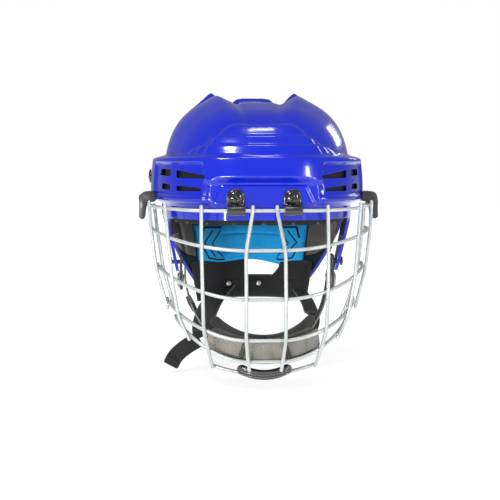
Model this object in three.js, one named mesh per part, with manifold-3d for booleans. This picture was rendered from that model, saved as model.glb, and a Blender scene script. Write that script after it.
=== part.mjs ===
// Ice hockey helmet with a flip-up wire cage. Millimetres, +Z up. The face looks along -Y and the
// origin is the centre of the head on the level of the brow edge.
import * as THREE from "three";
import { mergeVertices } from "three/addons/utils/BufferGeometryUtils.js";
import Module from "manifold-3d";

const wasm = await Module();
wasm.setup();

// ---- shell form ----
const CROWN_HALF_WIDTH = 92;
const CROWN_FRONT = 116;
const CROWN_BACK = 126;
const CROWN_HEIGHT = 113;
const PLAN_POWER = 2.4;
const SIDE_POWER = 3.4;
const FRONT_POWER = 2.9;
const WALL_TAPER = 0.0024;
const SHELL_WALL = 3;
const BAND_BOTTOM = 14;
const BAND_TOP = 57;
const BAND_STEP_SIDE = 12;
const BAND_STEP_FRONT = 3;
const RIDGE_HEIGHT = 6;
const RIDGE_BACK_X = 41;
const RIDGE_FRONT_X = 29;
const RIDGE_FRONT_Y = -100;
const PLATEAU_Y = 111.5;
const PLATEAU_TOP = 36;
const NAPE_Z = -88;
const ARM_TIP_Z = -55;
const SHELL_GAP = 3.6;
const REAR_STEP = 4;
const REAR_RISE = 4.5;

// ---- cage ----
const WIRE_R = 1.6;
const WIRE_GAP = 0.35;
const HINGE_Y = -120;
const HINGE_Z = 9;
const BAR_POWER = 2.3;
const TOP_BAR = { half: 104, flat: 39, front: HINGE_Y, back: -32, z: HINGE_Z, rise: 3 };
const EYE_BAR = { half: 101, flat: 12, front: -130, back: -46, z: -25, rise: 15 };
const NOSE_BAR = { half: 96, flat: 12, front: -136, back: -50, z: -67, rise: 24 };
const MOUTH_BAR = { half: 87, flat: 12, front: -134, back: -56, z: -103, rise: 28 };
const CHIN_BAR = { half: 79, flat: 12, front: -127, back: -68, z: -123, rise: 33 };

// ---- fittings ----
const CLIP_X = 25;
const CLIP_WIDTH = 16;
const CLIP_THICK = 2.2;
const CLIP_SCREW_Z = 20;
const SIDE_SCREW_Z = 19;
const SCREW_HEAD_R = 6.3;
const SHANK_R = 2.5;
const SIDE_CLIP_Y = -42;
const SIDE_CLIP_LENGTH = 20;
const SIZE_SCREW_Y = 6;
const SIZE_SCREW_Z = 38;
const SIZE_TRAVEL = 8;
const RIM_Z = -137;
const RIM_FRONT = -113;
const CUP_HALF = 51;
const CUP_BOW = 24;
const CUP_TOP = -105;
const CUP_BOTTOM = -126;
const CUP_FRONT = -124;
const LOOP_Y = -11;
const LOOP_Z = -64;
const STRAP_HALF = 8;
const STRAP_THICK = 1.7;

const TINT = {
  blue: 0x1a2fd0,
  cyan: 0x1490dc,
  wire: 0xcfd3d4,
  foam: 0x57534c,
  black: 0x141416,
  mesh: 0x8b8780,
  steel: 0x9fa2a6,
};

const group = new THREE.Group();
group.name = "hockey_helmet_cage";

function addPart(name, geometry, tint, roughness, metalness) {
  const material = new THREE.MeshStandardMaterial({ color: tint, roughness, metalness });
  const mesh = new THREE.Mesh(geometry, material);
  mesh.name = name;
  group.add(mesh);
}

// ---- solids to and from the boolean kernel ----
function toSolid(geometry) {
  const g = geometry.clone();
  g.deleteAttribute("normal");
  g.deleteAttribute("uv");
  const merged = mergeVertices(g, 1e-3);
  const vertProperties = new Float32Array(merged.attributes.position.array);
  const triVerts = new Uint32Array(merged.index.array);
  return new wasm.Manifold(new wasm.Mesh({ numProp: 3, vertProperties, triVerts }));
}

function toGeometry(solid) {
  const mesh = solid.getMesh();
  const geometry = new THREE.BufferGeometry();
  const stride = mesh.numProp;
  const count = mesh.vertProperties.length / stride;
  const position = new Float32Array(count * 3);
  for (let i = 0; i < count; i += 1) {
    for (let k = 0; k < 3; k += 1) position[3 * i + k] = mesh.vertProperties[stride * i + k];
  }
  geometry.setAttribute("position", new THREE.BufferAttribute(position, 3));
  geometry.setIndex(new THREE.BufferAttribute(new Uint32Array(mesh.triVerts), 1));
  geometry.computeVertexNormals();
  return geometry;
}

// ---- small numeric helpers ----
function smooth(a, b, v) {
  const s = Math.min(1, Math.max(0, (v - a) / (b - a)));
  return s * s * (3 - 2 * s);
}

function mix(a, b, t) {
  return a + (b - a) * t;
}

function superRadius(u, a, b, power) {
  const sum = (Math.abs(Math.cos(u)) / a) ** power + (Math.abs(Math.sin(u)) / b) ** power;
  return sum ** (-1 / power);
}

// ---- the outer skin of the shells ----
function bandOut(u, z) {
  const up = smooth(BAND_BOTTOM - 3, BAND_BOTTOM + 4, z);
  const down = 1 - smooth(BAND_TOP - 2, BAND_TOP + 8, z);
  const front = Math.sin(u) < 0 ? BAND_STEP_FRONT : 0;
  return up * down * mix(front, BAND_STEP_SIDE, Math.abs(Math.cos(u)) ** 1.2);
}

function ridgeOut(x, y) {
  const run = (y - RIDGE_FRONT_Y) / (30 - RIDGE_FRONT_Y);
  const line = mix(RIDGE_FRONT_X, RIDGE_BACK_X, Math.min(1, run)) - 7 * smooth(32, 52, y);
  const side = Math.abs(x) - line;
  const width = side < 0 ? 7 : 12;
  const fade = smooth(RIDGE_FRONT_Y - 8, 15, y) * (1 - smooth(40, 105, y));
  const taller = 1 + 0.9 * smooth(32, 50, y);
  const groove = 3 * Math.exp(-(((Math.abs(x) - line + 13) / 6) ** 2));
  return fade * (RIDGE_HEIGHT * taller * Math.exp(-((side / width) ** 2)) - groove);
}

// One point of the skin at plan angle u and base height z, moved outwards by off.
function skinPoint(u, z, off) {
  const power = mix(FRONT_POWER, SIDE_POWER, Math.cos(u) ** 2);
  const depth = Math.sin(u) < 0 ? CROWN_FRONT : CROWN_BACK;
  const plan = superRadius(u, CROWN_HALF_WIDTH, depth, PLAN_POWER);
  const rise = Math.max(0, 1 - (Math.max(z, 0) / CROWN_HEIGHT) ** power) ** (1 / power);
  const r = plan * rise * (1 + WALL_TAPER * Math.min(z, 0)) + bandOut(u, z);
  const x = r * Math.cos(u);
  const y = r * Math.sin(u);
  const normal = new THREE.Vector3(
    x / CROWN_HALF_WIDTH ** 2,
    y / depth ** 2,
    (1.6 * Math.max(z, 0) ** 3) / CROWN_HEIGHT ** 4,
  ).normalize();
  const step = REAR_STEP + REAR_RISE * smooth(50, 100, z);
  const rearOut = off.rear ? mix(-SHELL_WALL - SHELL_GAP, step, rearBlend(y, z)) : 0;
  const out = off.by + rearOut + ridgeOut(x, y) * smooth(20, 80, z);
  const point = new THREE.Vector3(x, y, z).addScaledVector(normal, out);
  const flat = 1 - smooth(PLATEAU_TOP - 3, PLATEAU_TOP + 3, point.z);
  const limit = -PLATEAU_Y - off.by;
  point.y = mix(point.y, Math.max(point.y, limit), flat);
  return point;
}

// Where the front shell ends: an edge that leans back towards the top.
function frontEdgeY(z) {
  return 12 + 20 * smooth(0, CROWN_HEIGHT, z);
}

function rearBlend(y, z) {
  const edge = frontEdgeY(z);
  return smooth(edge + 12.5, edge + 20, y);
}

// A closed dome whose vertices lie on the skin, from the crown down to the level of floor.
function dome(off, floor, around, rings) {
  const sphere = new THREE.SphereGeometry(1, around, rings);
  const position = sphere.attributes.position;
  for (let i = 0; i < position.count; i += 1) {
    const level = Math.acos(Math.min(1, Math.max(-1, position.getY(i)))) / Math.PI;
    const u = Math.atan2(-position.getZ(i), position.getX(i));
    const roof = Math.cos((Math.min(level / 0.68, 1) * Math.PI) / 2);
    const wall = Math.min(1, Math.max(0, (level - 0.68) / 0.24));
    const z = level < 0.68 ? CROWN_HEIGHT * roof ** 0.62 : floor * wall;
    const point = skinPoint(u, z, off);
    const shrink = level > 0.92 ? Math.max(0, (1 - level) / 0.08) : 1;
    position.setXYZ(i, point.x * shrink, point.y * shrink, point.z);
  }
  return toSolid(sphere);
}

// A prism across the helmet from a side profile of [y, z] corners.
function sidePrism(corners, half) {
  const shape = new THREE.Shape(corners.map(([y, z]) => new THREE.Vector2(y, z)));
  const prism = new THREE.ExtrudeGeometry(shape, { depth: 2 * half, bevelEnabled: false });
  const across = new THREE.Matrix4().set(0, 0, 1, -half, 1, 0, 0, 0, 0, 1, 0, 0, 0, 0, 0, 1);
  return toSolid(prism.applyMatrix4(across));
}

function boxSolid(x0, x1, y0, y1, z0, z1) {
  const box = new THREE.BoxGeometry(x1 - x0, y1 - y0, z1 - z0);
  return toSolid(box.translate((x0 + x1) / 2, (y0 + y1) / 2, (z0 + z1) / 2));
}

// A round bar along axis "x" or "y", from a to b on that axis.
function roundSolid(axis, r, a, b, p, q, sides) {
  const bar = new THREE.CylinderGeometry(r, r, b - a, sides);
  if (axis === "x") bar.rotateZ(-Math.PI / 2).translate((a + b) / 2, p, q);
  else bar.translate(0, (a + b) / 2, 0).translate(p, 0, q);
  return toSolid(bar);
}

// A block bent onto the skin: u and z spans along it, offsets of its two faces.
function skinPad(span, outer, inner, cells) {
  const block = new THREE.BoxGeometry(1, 1, 1, cells[0], cells[1], 1);
  const position = block.attributes.position;
  for (let i = 0; i < position.count; i += 1) {
    const u = mix(span.from, span.to, position.getX(i) + 0.5) * (Math.PI / 180);
    const z = mix(span.bottom, span.top, position.getY(i) + 0.5);
    const by = mix(inner, outer, position.getZ(i) + 0.5);
    const point = skinPoint(u, z, { by, rear: span.rear });
    position.setXYZ(i, point.x, point.y, point.z);
  }
  return toSolid(block);
}

// A block bent along a path function s -> {centre, side, up}, with half width and half thickness.
function sweptBlock(frameAt, steps, halfWidth, halfThick) {
  const block = new THREE.BoxGeometry(1, 1, 1, steps, 1, 1);
  const position = block.attributes.position;
  for (let i = 0; i < position.count; i += 1) {
    const { centre, side, up } = frameAt(position.getX(i) + 0.5);
    const point = centre.clone();
    point.addScaledVector(side, position.getY(i) * 2 * halfWidth);
    point.addScaledVector(up, position.getZ(i) * 2 * halfThick);
    position.setXYZ(i, point.x, point.y, point.z);
  }
  return toSolid(block);
}

function wireSolid(points, steps, radius) {
  const ring = [];
  for (let k = 0; k < 6; k += 1) {
    const a = (k * Math.PI) / 3;
    ring.push(new THREE.Vector2(radius * Math.cos(a), radius * Math.sin(a)));
  }
  const path = new THREE.CatmullRomCurve3(points, false, "centripetal");
  const options = { steps, bevelEnabled: false, extrudePath: path };
  return toSolid(new THREE.ExtrudeGeometry(new THREE.Shape(ring), options));
}

// ---- shells ----
const AROUND = 52;
const RINGS = 22;

function mirrored(solid) {
  return solid.mirror([1, 0, 0]);
}

function bothSides(solid) {
  return solid.add(mirrored(solid));
}

function frontProfile() {
  const arm = [[-62, 0], [-44, -3], [-34, -14], [-24, ARM_TIP_Z + 6], [-18, ARM_TIP_Z]];
  const armBack = [[-4, ARM_TIP_Z], [2, ARM_TIP_Z + 6], [8, -14]];
  const edge = [0, 30, 60, 90, 118].map((z) => [frontEdgeY(z), z]);
  return [[-150, 140], [-150, 0], ...arm, ...armBack, ...edge, [34, 140]];
}

function rearProfile() {
  const arch = [[-24, 14], [20, 14], [28, 0], [38, -18], [54, -40], [68, -62], [84, NAPE_Z]];
  return [[-24, 140], ...arch, [150, NAPE_Z], [150, 140]];
}

function frontShell() {
  const floor = ARM_TIP_Z - 10;
  const outer = dome({ by: 0 }, floor, AROUND, RINGS);
  const inner = dome({ by: -SHELL_WALL }, floor - 12, AROUND, RINGS);
  let cutters = boxSolid(52, 77, -140, -34, 38, 43.5);
  cutters = cutters.add(boxSolid(55, 77, -140, -34, 25, 29.5));
  cutters = cutters.add(boxSolid(83, 92, -140, -34, 39, 44.5));
  cutters = cutters.add(boxSolid(84, 91, -140, -34, 26.5, 31.5));
  const bore = SHANK_R + 0.5;
  cutters = cutters.add(roundSolid("y", bore, -130, -90, CLIP_X, CLIP_SCREW_Z, 12));
  cutters = cutters.add(roundSolid("x", bore, 70, 120, SIDE_CLIP_Y, SIDE_SCREW_Z, 12));
  cutters = cutters.add(roundSolid("x", bore, 70, 120, SIZE_SCREW_Y, SIZE_SCREW_Z, 12));
  cutters = cutters.add(roundSolid("x", 2.4, 60, 120, LOOP_Y, ARM_TIP_Z + 9, 10));
  return outer.subtract(inner).intersect(sidePrism(frontProfile(), 140)).subtract(bothSides(cutters));
}

function rearShell() {
  const outer = dome({ by: 0, rear: true }, NAPE_Z - 6, AROUND, RINGS);
  const inner = dome({ by: -SHELL_WALL, rear: true }, NAPE_Z - 18, AROUND, RINGS);
  const bore = SHANK_R + 0.5;
  const first = SIZE_SCREW_Y - SIZE_TRAVEL;
  let track = boxSolid(70, 120, first, SIZE_SCREW_Y, SIZE_SCREW_Z - bore, SIZE_SCREW_Z + bore);
  track = track.add(roundSolid("x", bore, 70, 120, first, SIZE_SCREW_Z, 12));
  track = track.add(roundSolid("x", bore, 70, 120, SIZE_SCREW_Y, SIZE_SCREW_Z, 12));
  const vents = boxSolid(22, 46, 90, 150, 34, 42).add(boxSolid(26, 50, 90, 150, 8, 16));
  const window = boxSolid(-32, 32, 60, 160, -72, -54);
  const holes = bothSides(track.add(vents)).add(window);
  return outer.subtract(inner).intersect(sidePrism(rearProfile(), 140)).subtract(holes);
}

// ---- plan positions on the skin ----
function skinSideX(y, z, by) {
  let low = -Math.PI / 2;
  let high = Math.PI / 2;
  for (let i = 0; i < 40; i += 1) {
    const mid = (low + high) / 2;
    if (skinPoint(mid, z, { by }).y < y) low = mid;
    else high = mid;
  }
  return skinPoint(low, z, { by }).x;
}

// ---- cage wires ----
function barPoint(bar, x) {
  const reach = Math.max(0, Math.abs(x) - bar.flat) / (bar.half - bar.flat);
  const drop = Math.max(0, 1 - Math.min(1, reach) ** BAR_POWER) ** (1 / BAR_POWER);
  const y = mix(bar.back, bar.front, drop);
  return new THREE.Vector3(x, y, bar.z + bar.rise * reach ** 2);
}

function barOutward(bar, x) {
  const a = barPoint(bar, x - 0.5);
  const b = barPoint(bar, x + 0.5);
  return new THREE.Vector3(b.y - a.y, -(b.x - a.x), 0).normalize();
}

function barWire(bar, steps) {
  const points = [];
  const count = 12;
  for (let i = -count; i <= count; i += 1) {
    const angle = (i / count) * (Math.PI / 2) * 0.97;
    const reach = Math.abs(Math.sin(angle)) ** (2 / BAR_POWER);
    const x = Math.sign(i) * (bar.flat + (bar.half - bar.flat) * reach);
    points.push(barPoint(bar, x));
  }
  return wireSolid(points, steps, WIRE_R);
}

// A wire crossing the bars on their outside at the given distances from the middle, down to foot.
function crossWire(stations, steps, foot) {
  const points = stations.map(([bar, x]) => {
    const shift = 2 * WIRE_R + WIRE_GAP;
    return barPoint(bar, x).addScaledVector(barOutward(bar, x), shift);
  });
  const first = points[0].clone().add(new THREE.Vector3(0, 0.4, 3.6));
  const lean = points.at(-1).clone().sub(points.at(-2)).normalize();
  const last = foot ?? points.at(-1).clone().addScaledVector(lean, 3);
  return wireSolid([first, ...points, last], steps, WIRE_R);
}

function rimPoint(x) {
  const bow = (Math.abs(x) / 47) ** 2;
  return new THREE.Vector3(x, RIM_FRONT + 6 * bow, RIM_Z + 8 * bow);
}

function centreWire() {
  const stations = [[TOP_BAR, 10.5], [EYE_BAR, 17], [NOSE_BAR, 17], [MOUTH_BAR, 17], [CHIN_BAR, 15]];
  return crossWire(stations, 14, new THREE.Vector3(14, -129.4, -130));
}

function innerWire() {
  const stations = [[TOP_BAR, 54.5], [EYE_BAR, 54], [NOSE_BAR, 53], [MOUTH_BAR, 52], [CHIN_BAR, 48]];
  const end = rimPoint(44);
  return crossWire(stations, 14, new THREE.Vector3(end.x + 1.8, end.y - 4, end.z));
}

function outerWire() {
  return crossWire([[TOP_BAR, 84.5], [EYE_BAR, 82], [NOSE_BAR, 78.5], [MOUTH_BAR, 73], [CHIN_BAR, 65]], 14);
}

function sideWire() {
  return crossWire([[TOP_BAR, 99], [EYE_BAR, 97], [NOSE_BAR, 92.8], [MOUTH_BAR, 83.5]], 10);
}

// The rear edge of the cage: behind the bar ends, from the temple down to the chin bar.
function edgeWire() {
  const inside = 2 * WIRE_R + 2 * WIRE_GAP;
  const behind = [TOP_BAR, EYE_BAR, NOSE_BAR, MOUTH_BAR, CHIN_BAR].map((bar) => {
    const x = bar.half * 0.985;
    return barPoint(bar, x).addScaledVector(barOutward(bar, x), -inside);
  });
  return wireSolid(behind, 14, WIRE_R);
}

function rimWire() {
  const points = [];
  for (let x = -44; x <= 44; x += 11) points.push(rimPoint(x));
  return wireSolid(points, 10, WIRE_R);
}

// ---- cage fittings ----
function frontClip() {
  const bore = WIRE_R + 0.5;
  const back = -PLATEAU_Y;
  const outside = bore + CLIP_THICK;
  const profile = new THREE.Shape();
  profile.moveTo(back + 1, HINGE_Z - outside);
  profile.lineTo(HINGE_Y, HINGE_Z - outside);
  profile.absarc(HINGE_Y, HINGE_Z, outside, -Math.PI / 2, -Math.PI * 1.67, true);
  profile.lineTo(back - CLIP_THICK - 0.4, HINGE_Z + outside - 0.3);
  profile.lineTo(back - CLIP_THICK - 0.4, 34);
  profile.lineTo(back + 1, 34);
  profile.closePath();
  const hole = new THREE.Path().absarc(HINGE_Y, HINGE_Z, bore, 0, Math.PI * 2, false);
  profile.holes.push(hole);
  const options = { depth: CLIP_WIDTH, bevelEnabled: false, curveSegments: 12 };
  const body = new THREE.ExtrudeGeometry(profile, options);
  const x0 = CLIP_X - CLIP_WIDTH / 2;
  body.applyMatrix4(new THREE.Matrix4().set(0, 0, 1, x0, 1, 0, 0, 0, 0, 1, 0, 0, 0, 0, 0, 1));
  const top = roundSolid("y", CLIP_WIDTH / 2, -140, -90, CLIP_X, CLIP_SCREW_Z, 20);
  const skirt = boxSolid(x0, x0 + CLIP_WIDTH, -140, -90, 0, CLIP_SCREW_Z);
  const shank = roundSolid("y", SHANK_R + 0.4, -140, -90, CLIP_X, CLIP_SCREW_Z, 12);
  const clip = toSolid(body).intersect(top.add(skirt)).subtract(shank);
  return clip;
}

function largest(solid) {
  const bodies = solid.decompose();
  return bodies.sort((a, b) => b.volume() - a.volume())[0];
}

function clipScrew() {
  const face = -PLATEAU_Y - CLIP_THICK - 0.8;
  const head = roundSolid("y", SCREW_HEAD_R, face - 2.6, face, CLIP_X, CLIP_SCREW_Z, 20);
  const shank = roundSolid("y", SHANK_R, face - 1, -PLATEAU_Y + 8, CLIP_X, CLIP_SCREW_Z, 12);
  const [near, far] = [face - 4, face - 1.4];
  const slot = boxSolid(CLIP_X - 0.8, CLIP_X + 0.8, near, far, CLIP_SCREW_Z - 5, CLIP_SCREW_Z + 5);
  const cross = boxSolid(CLIP_X - 5, CLIP_X + 5, near, far, CLIP_SCREW_Z - 0.8, CLIP_SCREW_Z + 0.8);
  return head.add(shank).subtract(slot).subtract(cross);
}

function clipNut() {
  const y0 = -PLATEAU_Y + SHELL_WALL + 1.5;
  const plate = roundSolid("y", 6.5, y0, y0 + 3, CLIP_X, CLIP_SCREW_Z, 14);
  return plate.subtract(roundSolid("y", SHANK_R + 0.35, y0 - 5, y0 + 9, CLIP_X, CLIP_SCREW_Z, 12));
}

function sideClip() {
  const outer = [[90, 23], [107, 23], [111.5, 20], [112.5, -1.5], [107.6, -1.5]];
  const inner = [[106.8, 14.4], [100.4, 14.4], [100.4, 15.4], [90, 15.4]];
  const hook = new THREE.Shape([...outer, ...inner].map(([x, z]) => new THREE.Vector2(x, z)));
  const body = new THREE.ExtrudeGeometry(hook, { depth: SIDE_CLIP_LENGTH, bevelEnabled: false });
  body.rotateX(Math.PI / 2).translate(0, SIDE_CLIP_Y + SIDE_CLIP_LENGTH / 2, 0);
  const bore = roundSolid("x", SHANK_R + 0.4, 80, 130, SIDE_CLIP_Y, SIDE_SCREW_Z, 12);
  return toSolid(body).subtract(bore);
}

function sideClipScrew() {
  const head = roundSolid("x", 3.2, 112.2, 113.6, SIDE_CLIP_Y, SIDE_SCREW_Z, 16);
  return head.add(roundSolid("x", SHANK_R, 90, 113, SIDE_CLIP_Y, SIDE_SCREW_Z, 12));
}

function sideNut(y, z, by, r) {
  const rim = [[-r, 0], [r, 0], [0, -r], [0, r]].map(([dy, dz]) => skinSideX(y + dy, z + dz, by));
  const x = Math.min(...rim) - 1.6;
  const plate = roundSolid("x", r, x - 2.4, x, y, z, 14);
  return plate.subtract(roundSolid("x", SHANK_R + 0.35, x - 9, x + 5, y, z, 12));
}

function sizeScrew() {
  const x = skinSideX(SIZE_SCREW_Y, SIZE_SCREW_Z, 0) + 0.6;
  const head = roundSolid("x", 7, x, x + 2.6, SIZE_SCREW_Y, SIZE_SCREW_Z, 18);
  const [low, high] = [SIZE_SCREW_Z - 0.8, SIZE_SCREW_Z + 0.8];
  const slot = boxSolid(x + 1.4, x + 4, SIZE_SCREW_Y - 5, SIZE_SCREW_Y + 5, low, high);
  const shank = roundSolid("x", SHANK_R, x - 13, x + 1, SIZE_SCREW_Y, SIZE_SCREW_Z, 12);
  return head.subtract(slot).add(shank);
}

// ---- chin cup ----
// Stations of a band bowed round the chin; inset moves it in from the cup's middle surface.
function cupFrame({ z, half, rise, inset = 0, lean = 0, y = CUP_FRONT + 2.3 }) {
  return (s) => {
    const x = mix(-half, half, s);
    const k = (x / CUP_HALF) ** 2;
    const out = new THREE.Vector3((2 * CUP_BOW * x) / CUP_HALF ** 2, -1, 0).normalize();
    const side = new THREE.Vector3(0, lean, 1).normalize();
    const centre = new THREE.Vector3(x, y + CUP_BOW * k, z + rise * k);
    return { centre: centre.addScaledVector(out, -inset), side, up: out };
  };
}

// The same band laid flat, so its width runs front to back.
function flatFrame(options) {
  return (s) => {
    const { centre, side, up } = cupFrame(options)(s);
    return { centre, side: up, up: side.negate() };
  };
}

function chinCup() {
  const middle = (CUP_TOP + CUP_BOTTOM) / 2;
  const tall = (CUP_TOP - CUP_BOTTOM) / 2;
  const wall = sweptBlock(cupFrame({ z: middle, half: CUP_HALF, rise: 8 }), 12, tall, 1.2);
  const lip = flatFrame({ z: CUP_BOTTOM + 1, half: CUP_HALF - 8, rise: 6, y: CUP_FRONT + 11 });
  return wall.add(sweptBlock(lip, 12, 10, 1.2));
}

function chinPad() {
  const frame = cupFrame({ z: CUP_TOP - 7, half: CUP_HALF - 4, rise: 12, inset: 5.9 });
  return sweptBlock(frame, 12, 10, 4.2);
}

function chinLipPad() {
  const frame = flatFrame({ z: CUP_BOTTOM + 7.5, half: CUP_HALF - 16, rise: 6, y: CUP_FRONT + 22 });
  return sweptBlock(frame, 10, 5.5, 3.2);
}

function chinBumper() {
  return sweptBlock(cupFrame({ z: -135.5, half: 24, rise: 6, lean: 0.25 }), 8, 4.5, 3);
}

function cupTab() {
  return boxSolid(18, 22.5, CUP_FRONT - 0.8, CUP_FRONT + 0.7, CUP_BOTTOM + 2, CUP_TOP - 1);
}

// ---- chin strap ----
function strapPath() {
  const half = [[70.4, LOOP_Y, LOOP_Z], [67, -18, -79], [59, -30, -97], [44, -42, -113], [23, -50, -123]];
  const left = half.map(([x, y, z]) => new THREE.Vector3(-x, y, z));
  const right = half.map(([x, y, z]) => new THREE.Vector3(x, y, z)).reverse();
  return new THREE.CatmullRomCurve3([...left, new THREE.Vector3(0, -53, -126), ...right]);
}

function webbingFrame(path, across) {
  return (s) => {
    const centre = path.getPointAt(Math.min(1, Math.max(0, s)));
    const along = path.getTangentAt(Math.min(1, Math.max(0, s)));
    const side = across.clone().addScaledVector(along, -across.dot(along)).normalize();
    return { centre, along, side, up: new THREE.Vector3().crossVectors(along, side) };
  };
}

function strapTail() {
  const points = [[-57, -38, -118], [-71, -41, -126], [-80, -42, -134], [-85, -42, -143]];
  const path = new THREE.CatmullRomCurve3(points.map(([x, y, z]) => new THREE.Vector3(x, y, z)));
  const frame = webbingFrame(path, new THREE.Vector3(-0.5, 0, 0.85));
  return sweptBlock(frame, 8, STRAP_HALF, STRAP_THICK / 2);
}

// A ladder slider threaded on the strap at station s.
function strapSlider(frameAt, s) {
  const { centre, along, side, up } = frameAt(s);
  const body = new THREE.BoxGeometry(7, 2 * STRAP_HALF + 6, 5.4);
  const slot = new THREE.BoxGeometry(12, 2 * STRAP_HALF + 1.2, STRAP_THICK + 1.1);
  const place = new THREE.Matrix4().makeBasis(along, side, up).setPosition(centre);
  return toSolid(body.applyMatrix4(place)).subtract(toSolid(slot.applyMatrix4(place)));
}

function earLoop() {
  const outline = new THREE.Shape();
  outline.moveTo(LOOP_Y + 9, ARM_TIP_Z + 16);
  outline.lineTo(LOOP_Y - 9, ARM_TIP_Z + 16);
  outline.lineTo(LOOP_Y - 10, LOOP_Z);
  outline.absarc(LOOP_Y, LOOP_Z, 10, Math.PI, Math.PI * 2, false);
  outline.closePath();
  outline.holes.push(new THREE.Path().absarc(LOOP_Y, LOOP_Z, 6, 0, Math.PI * 2, true));
  const body = new THREE.ExtrudeGeometry(outline, { depth: 2.6, bevelEnabled: false, curveSegments: 8 });
  body.applyMatrix4(new THREE.Matrix4().set(0, 0, 1, 73.4, 1, 0, 0, 0, 0, 1, 0, 0, 0, 0, 0, 1));
  return toSolid(body).subtract(roundSolid("x", 2.4, 60, 90, LOOP_Y, ARM_TIP_Z + 9, 10));
}

function loopRivet() {
  const head = roundSolid("x", 4.5, 83.4, 85.2, LOOP_Y, ARM_TIP_Z + 9, 14);
  return head.add(roundSolid("x", 2, 72.4, 84, LOOP_Y, ARM_TIP_Z + 9, 10));
}

function strapSnap() {
  const stud = roundSolid("x", 5.4, 71.7, 76.8, LOOP_Y, LOOP_Z, 14);
  return stud.add(roundSolid("x", 7.4, 76.6, 78.6, LOOP_Y, LOOP_Z, 16));
}

// ---- build ----
const envelope = dome({ by: 0.4 }, ARM_TIP_Z - 10, AROUND, RINGS);

function addPair(name, solid, tint, roughness, metalness, fit = (piece) => piece) {
  addPart(name + "_r", toGeometry(fit(solid)), tint, roughness, metalness);
  addPart(name + "_l", toGeometry(fit(mirrored(solid))), tint, roughness, metalness);
}

addPart("front_shell", toGeometry(largest(frontShell())), TINT.blue, 0.2, 0);
addPart("rear_shell", toGeometry(largest(rearShell())), TINT.blue, 0.2, 0);

const inFront = dome({ by: -SHELL_WALL - 0.35 }, NAPE_Z - 18, AROUND, RINGS);
const inRear = dome({ by: -SHELL_WALL - 0.35, rear: true }, NAPE_Z - 18, AROUND, RINGS);
// The room that stays free inside both shells while the rear one slides.
const inRearHalf = inRear.translate([0, SIZE_TRAVEL / 2, 0]);
const inRearOut = inRear.translate([0, SIZE_TRAVEL, 0]);
const inBoth = inFront.intersect(inRear).intersect(inRearHalf).intersect(inRearOut);

const nutPockets = bothSides(roundSolid("y", 8, -112, -98, CLIP_X, CLIP_SCREW_Z, 12));
const browFoam = skinPad({ from: -148, to: -32, bottom: -4, top: 52 }, -1, -13, [14, 4]);
addPart("brow_foam", toGeometry(browFoam.intersect(inFront).subtract(nutPockets)), TINT.foam, 0.9, 0);
const templePocket = roundSolid("x", 8, 80, 110, SIDE_CLIP_Y, SIDE_SCREW_Z, 12)
  .add(boxSolid(84, 110, SIZE_SCREW_Y - 9, SIZE_SCREW_Y + 9, SIZE_SCREW_Z - 9, SIZE_SCREW_Z + 9));
const templeFoam = skinPad({ from: -30, to: 4, bottom: -36, top: 56 }, -4, -15, [6, 8]);
const fitTemple = (pad) => largest(pad.intersect(inBoth));
addPair("temple_foam", templeFoam.subtract(templePocket), TINT.foam, 0.9, 0, fitTemple);

function crownCap(y0, y1, by) {
  const cap = inBoth.subtract(dome({ by: by - 11 }, -20, 32, 14));
  return largest(cap.intersect(boxSolid(-58, 58, y0, y1, 70, 140)));
}

addPart("crown_foam_front", toGeometry(crownCap(-86, -14, -7)), TINT.foam, 0.9, 0);
addPart("crown_foam_rear", toGeometry(crownCap(-12, 74, -7)), TINT.foam, 0.9, 0);

const rearFoam = skinPad({ from: 14, to: 54, bottom: -50, top: 58, rear: true }, -1, -12, [6, 8]);
const rearRoom = inRear.intersect(sidePrism(rearProfile(), 140));
addPair("rear_foam", rearFoam, TINT.foam, 0.9, 0, (pad) => largest(pad.intersect(rearRoom)));
const occipital = skinPad({ from: 56, to: 124, bottom: -58, top: -14, rear: true }, -1, -12, [10, 3]);
addPart("occipital_pad", toGeometry(occipital.intersect(inRear)), TINT.cyan, 0.8, 0);
const napePad = skinPad({ from: 50, to: 130, bottom: -97, top: -60, rear: true }, -1, -12, [10, 3]);
const napeNotch = boxSolid(-32, 32, 60, 150, -72, -50);
addPart("nape_pad", toGeometry(napePad.intersect(inRear).subtract(napeNotch)), TINT.black, 0.8, 0);

const fitClip = (clip) => largest(clip.subtract(envelope));
addPair("front_clip", frontClip(), TINT.black, 0.25, 0, fitClip);
addPair("front_clip_screw", clipScrew(), TINT.black, 0.2, 0.3);
addPair("front_clip_nut", clipNut(), TINT.steel, 0.4, 0.9);
addPair("side_clip", sideClip(), TINT.black, 0.5, 0, fitClip);
addPair("side_clip_screw", sideClipScrew(), TINT.black, 0.2, 0.3);
addPair("side_clip_nut", sideNut(SIDE_CLIP_Y, SIDE_SCREW_Z, -SHELL_WALL, 4.6), TINT.steel, 0.4, 0.9);
addPair("size_screw", sizeScrew(), TINT.black, 0.2, 0.3);
const sizeNut = sideNut(SIZE_SCREW_Y, SIZE_SCREW_Z, -2 * SHELL_WALL - SHELL_GAP, 7);
addPair("size_nut", sizeNut, TINT.steel, 0.4, 0.9);
addPair("ear_loop", earLoop(), TINT.black, 0.4, 0);
addPair("ear_loop_rivet", loopRivet(), TINT.black, 0.3, 0.2);

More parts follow.
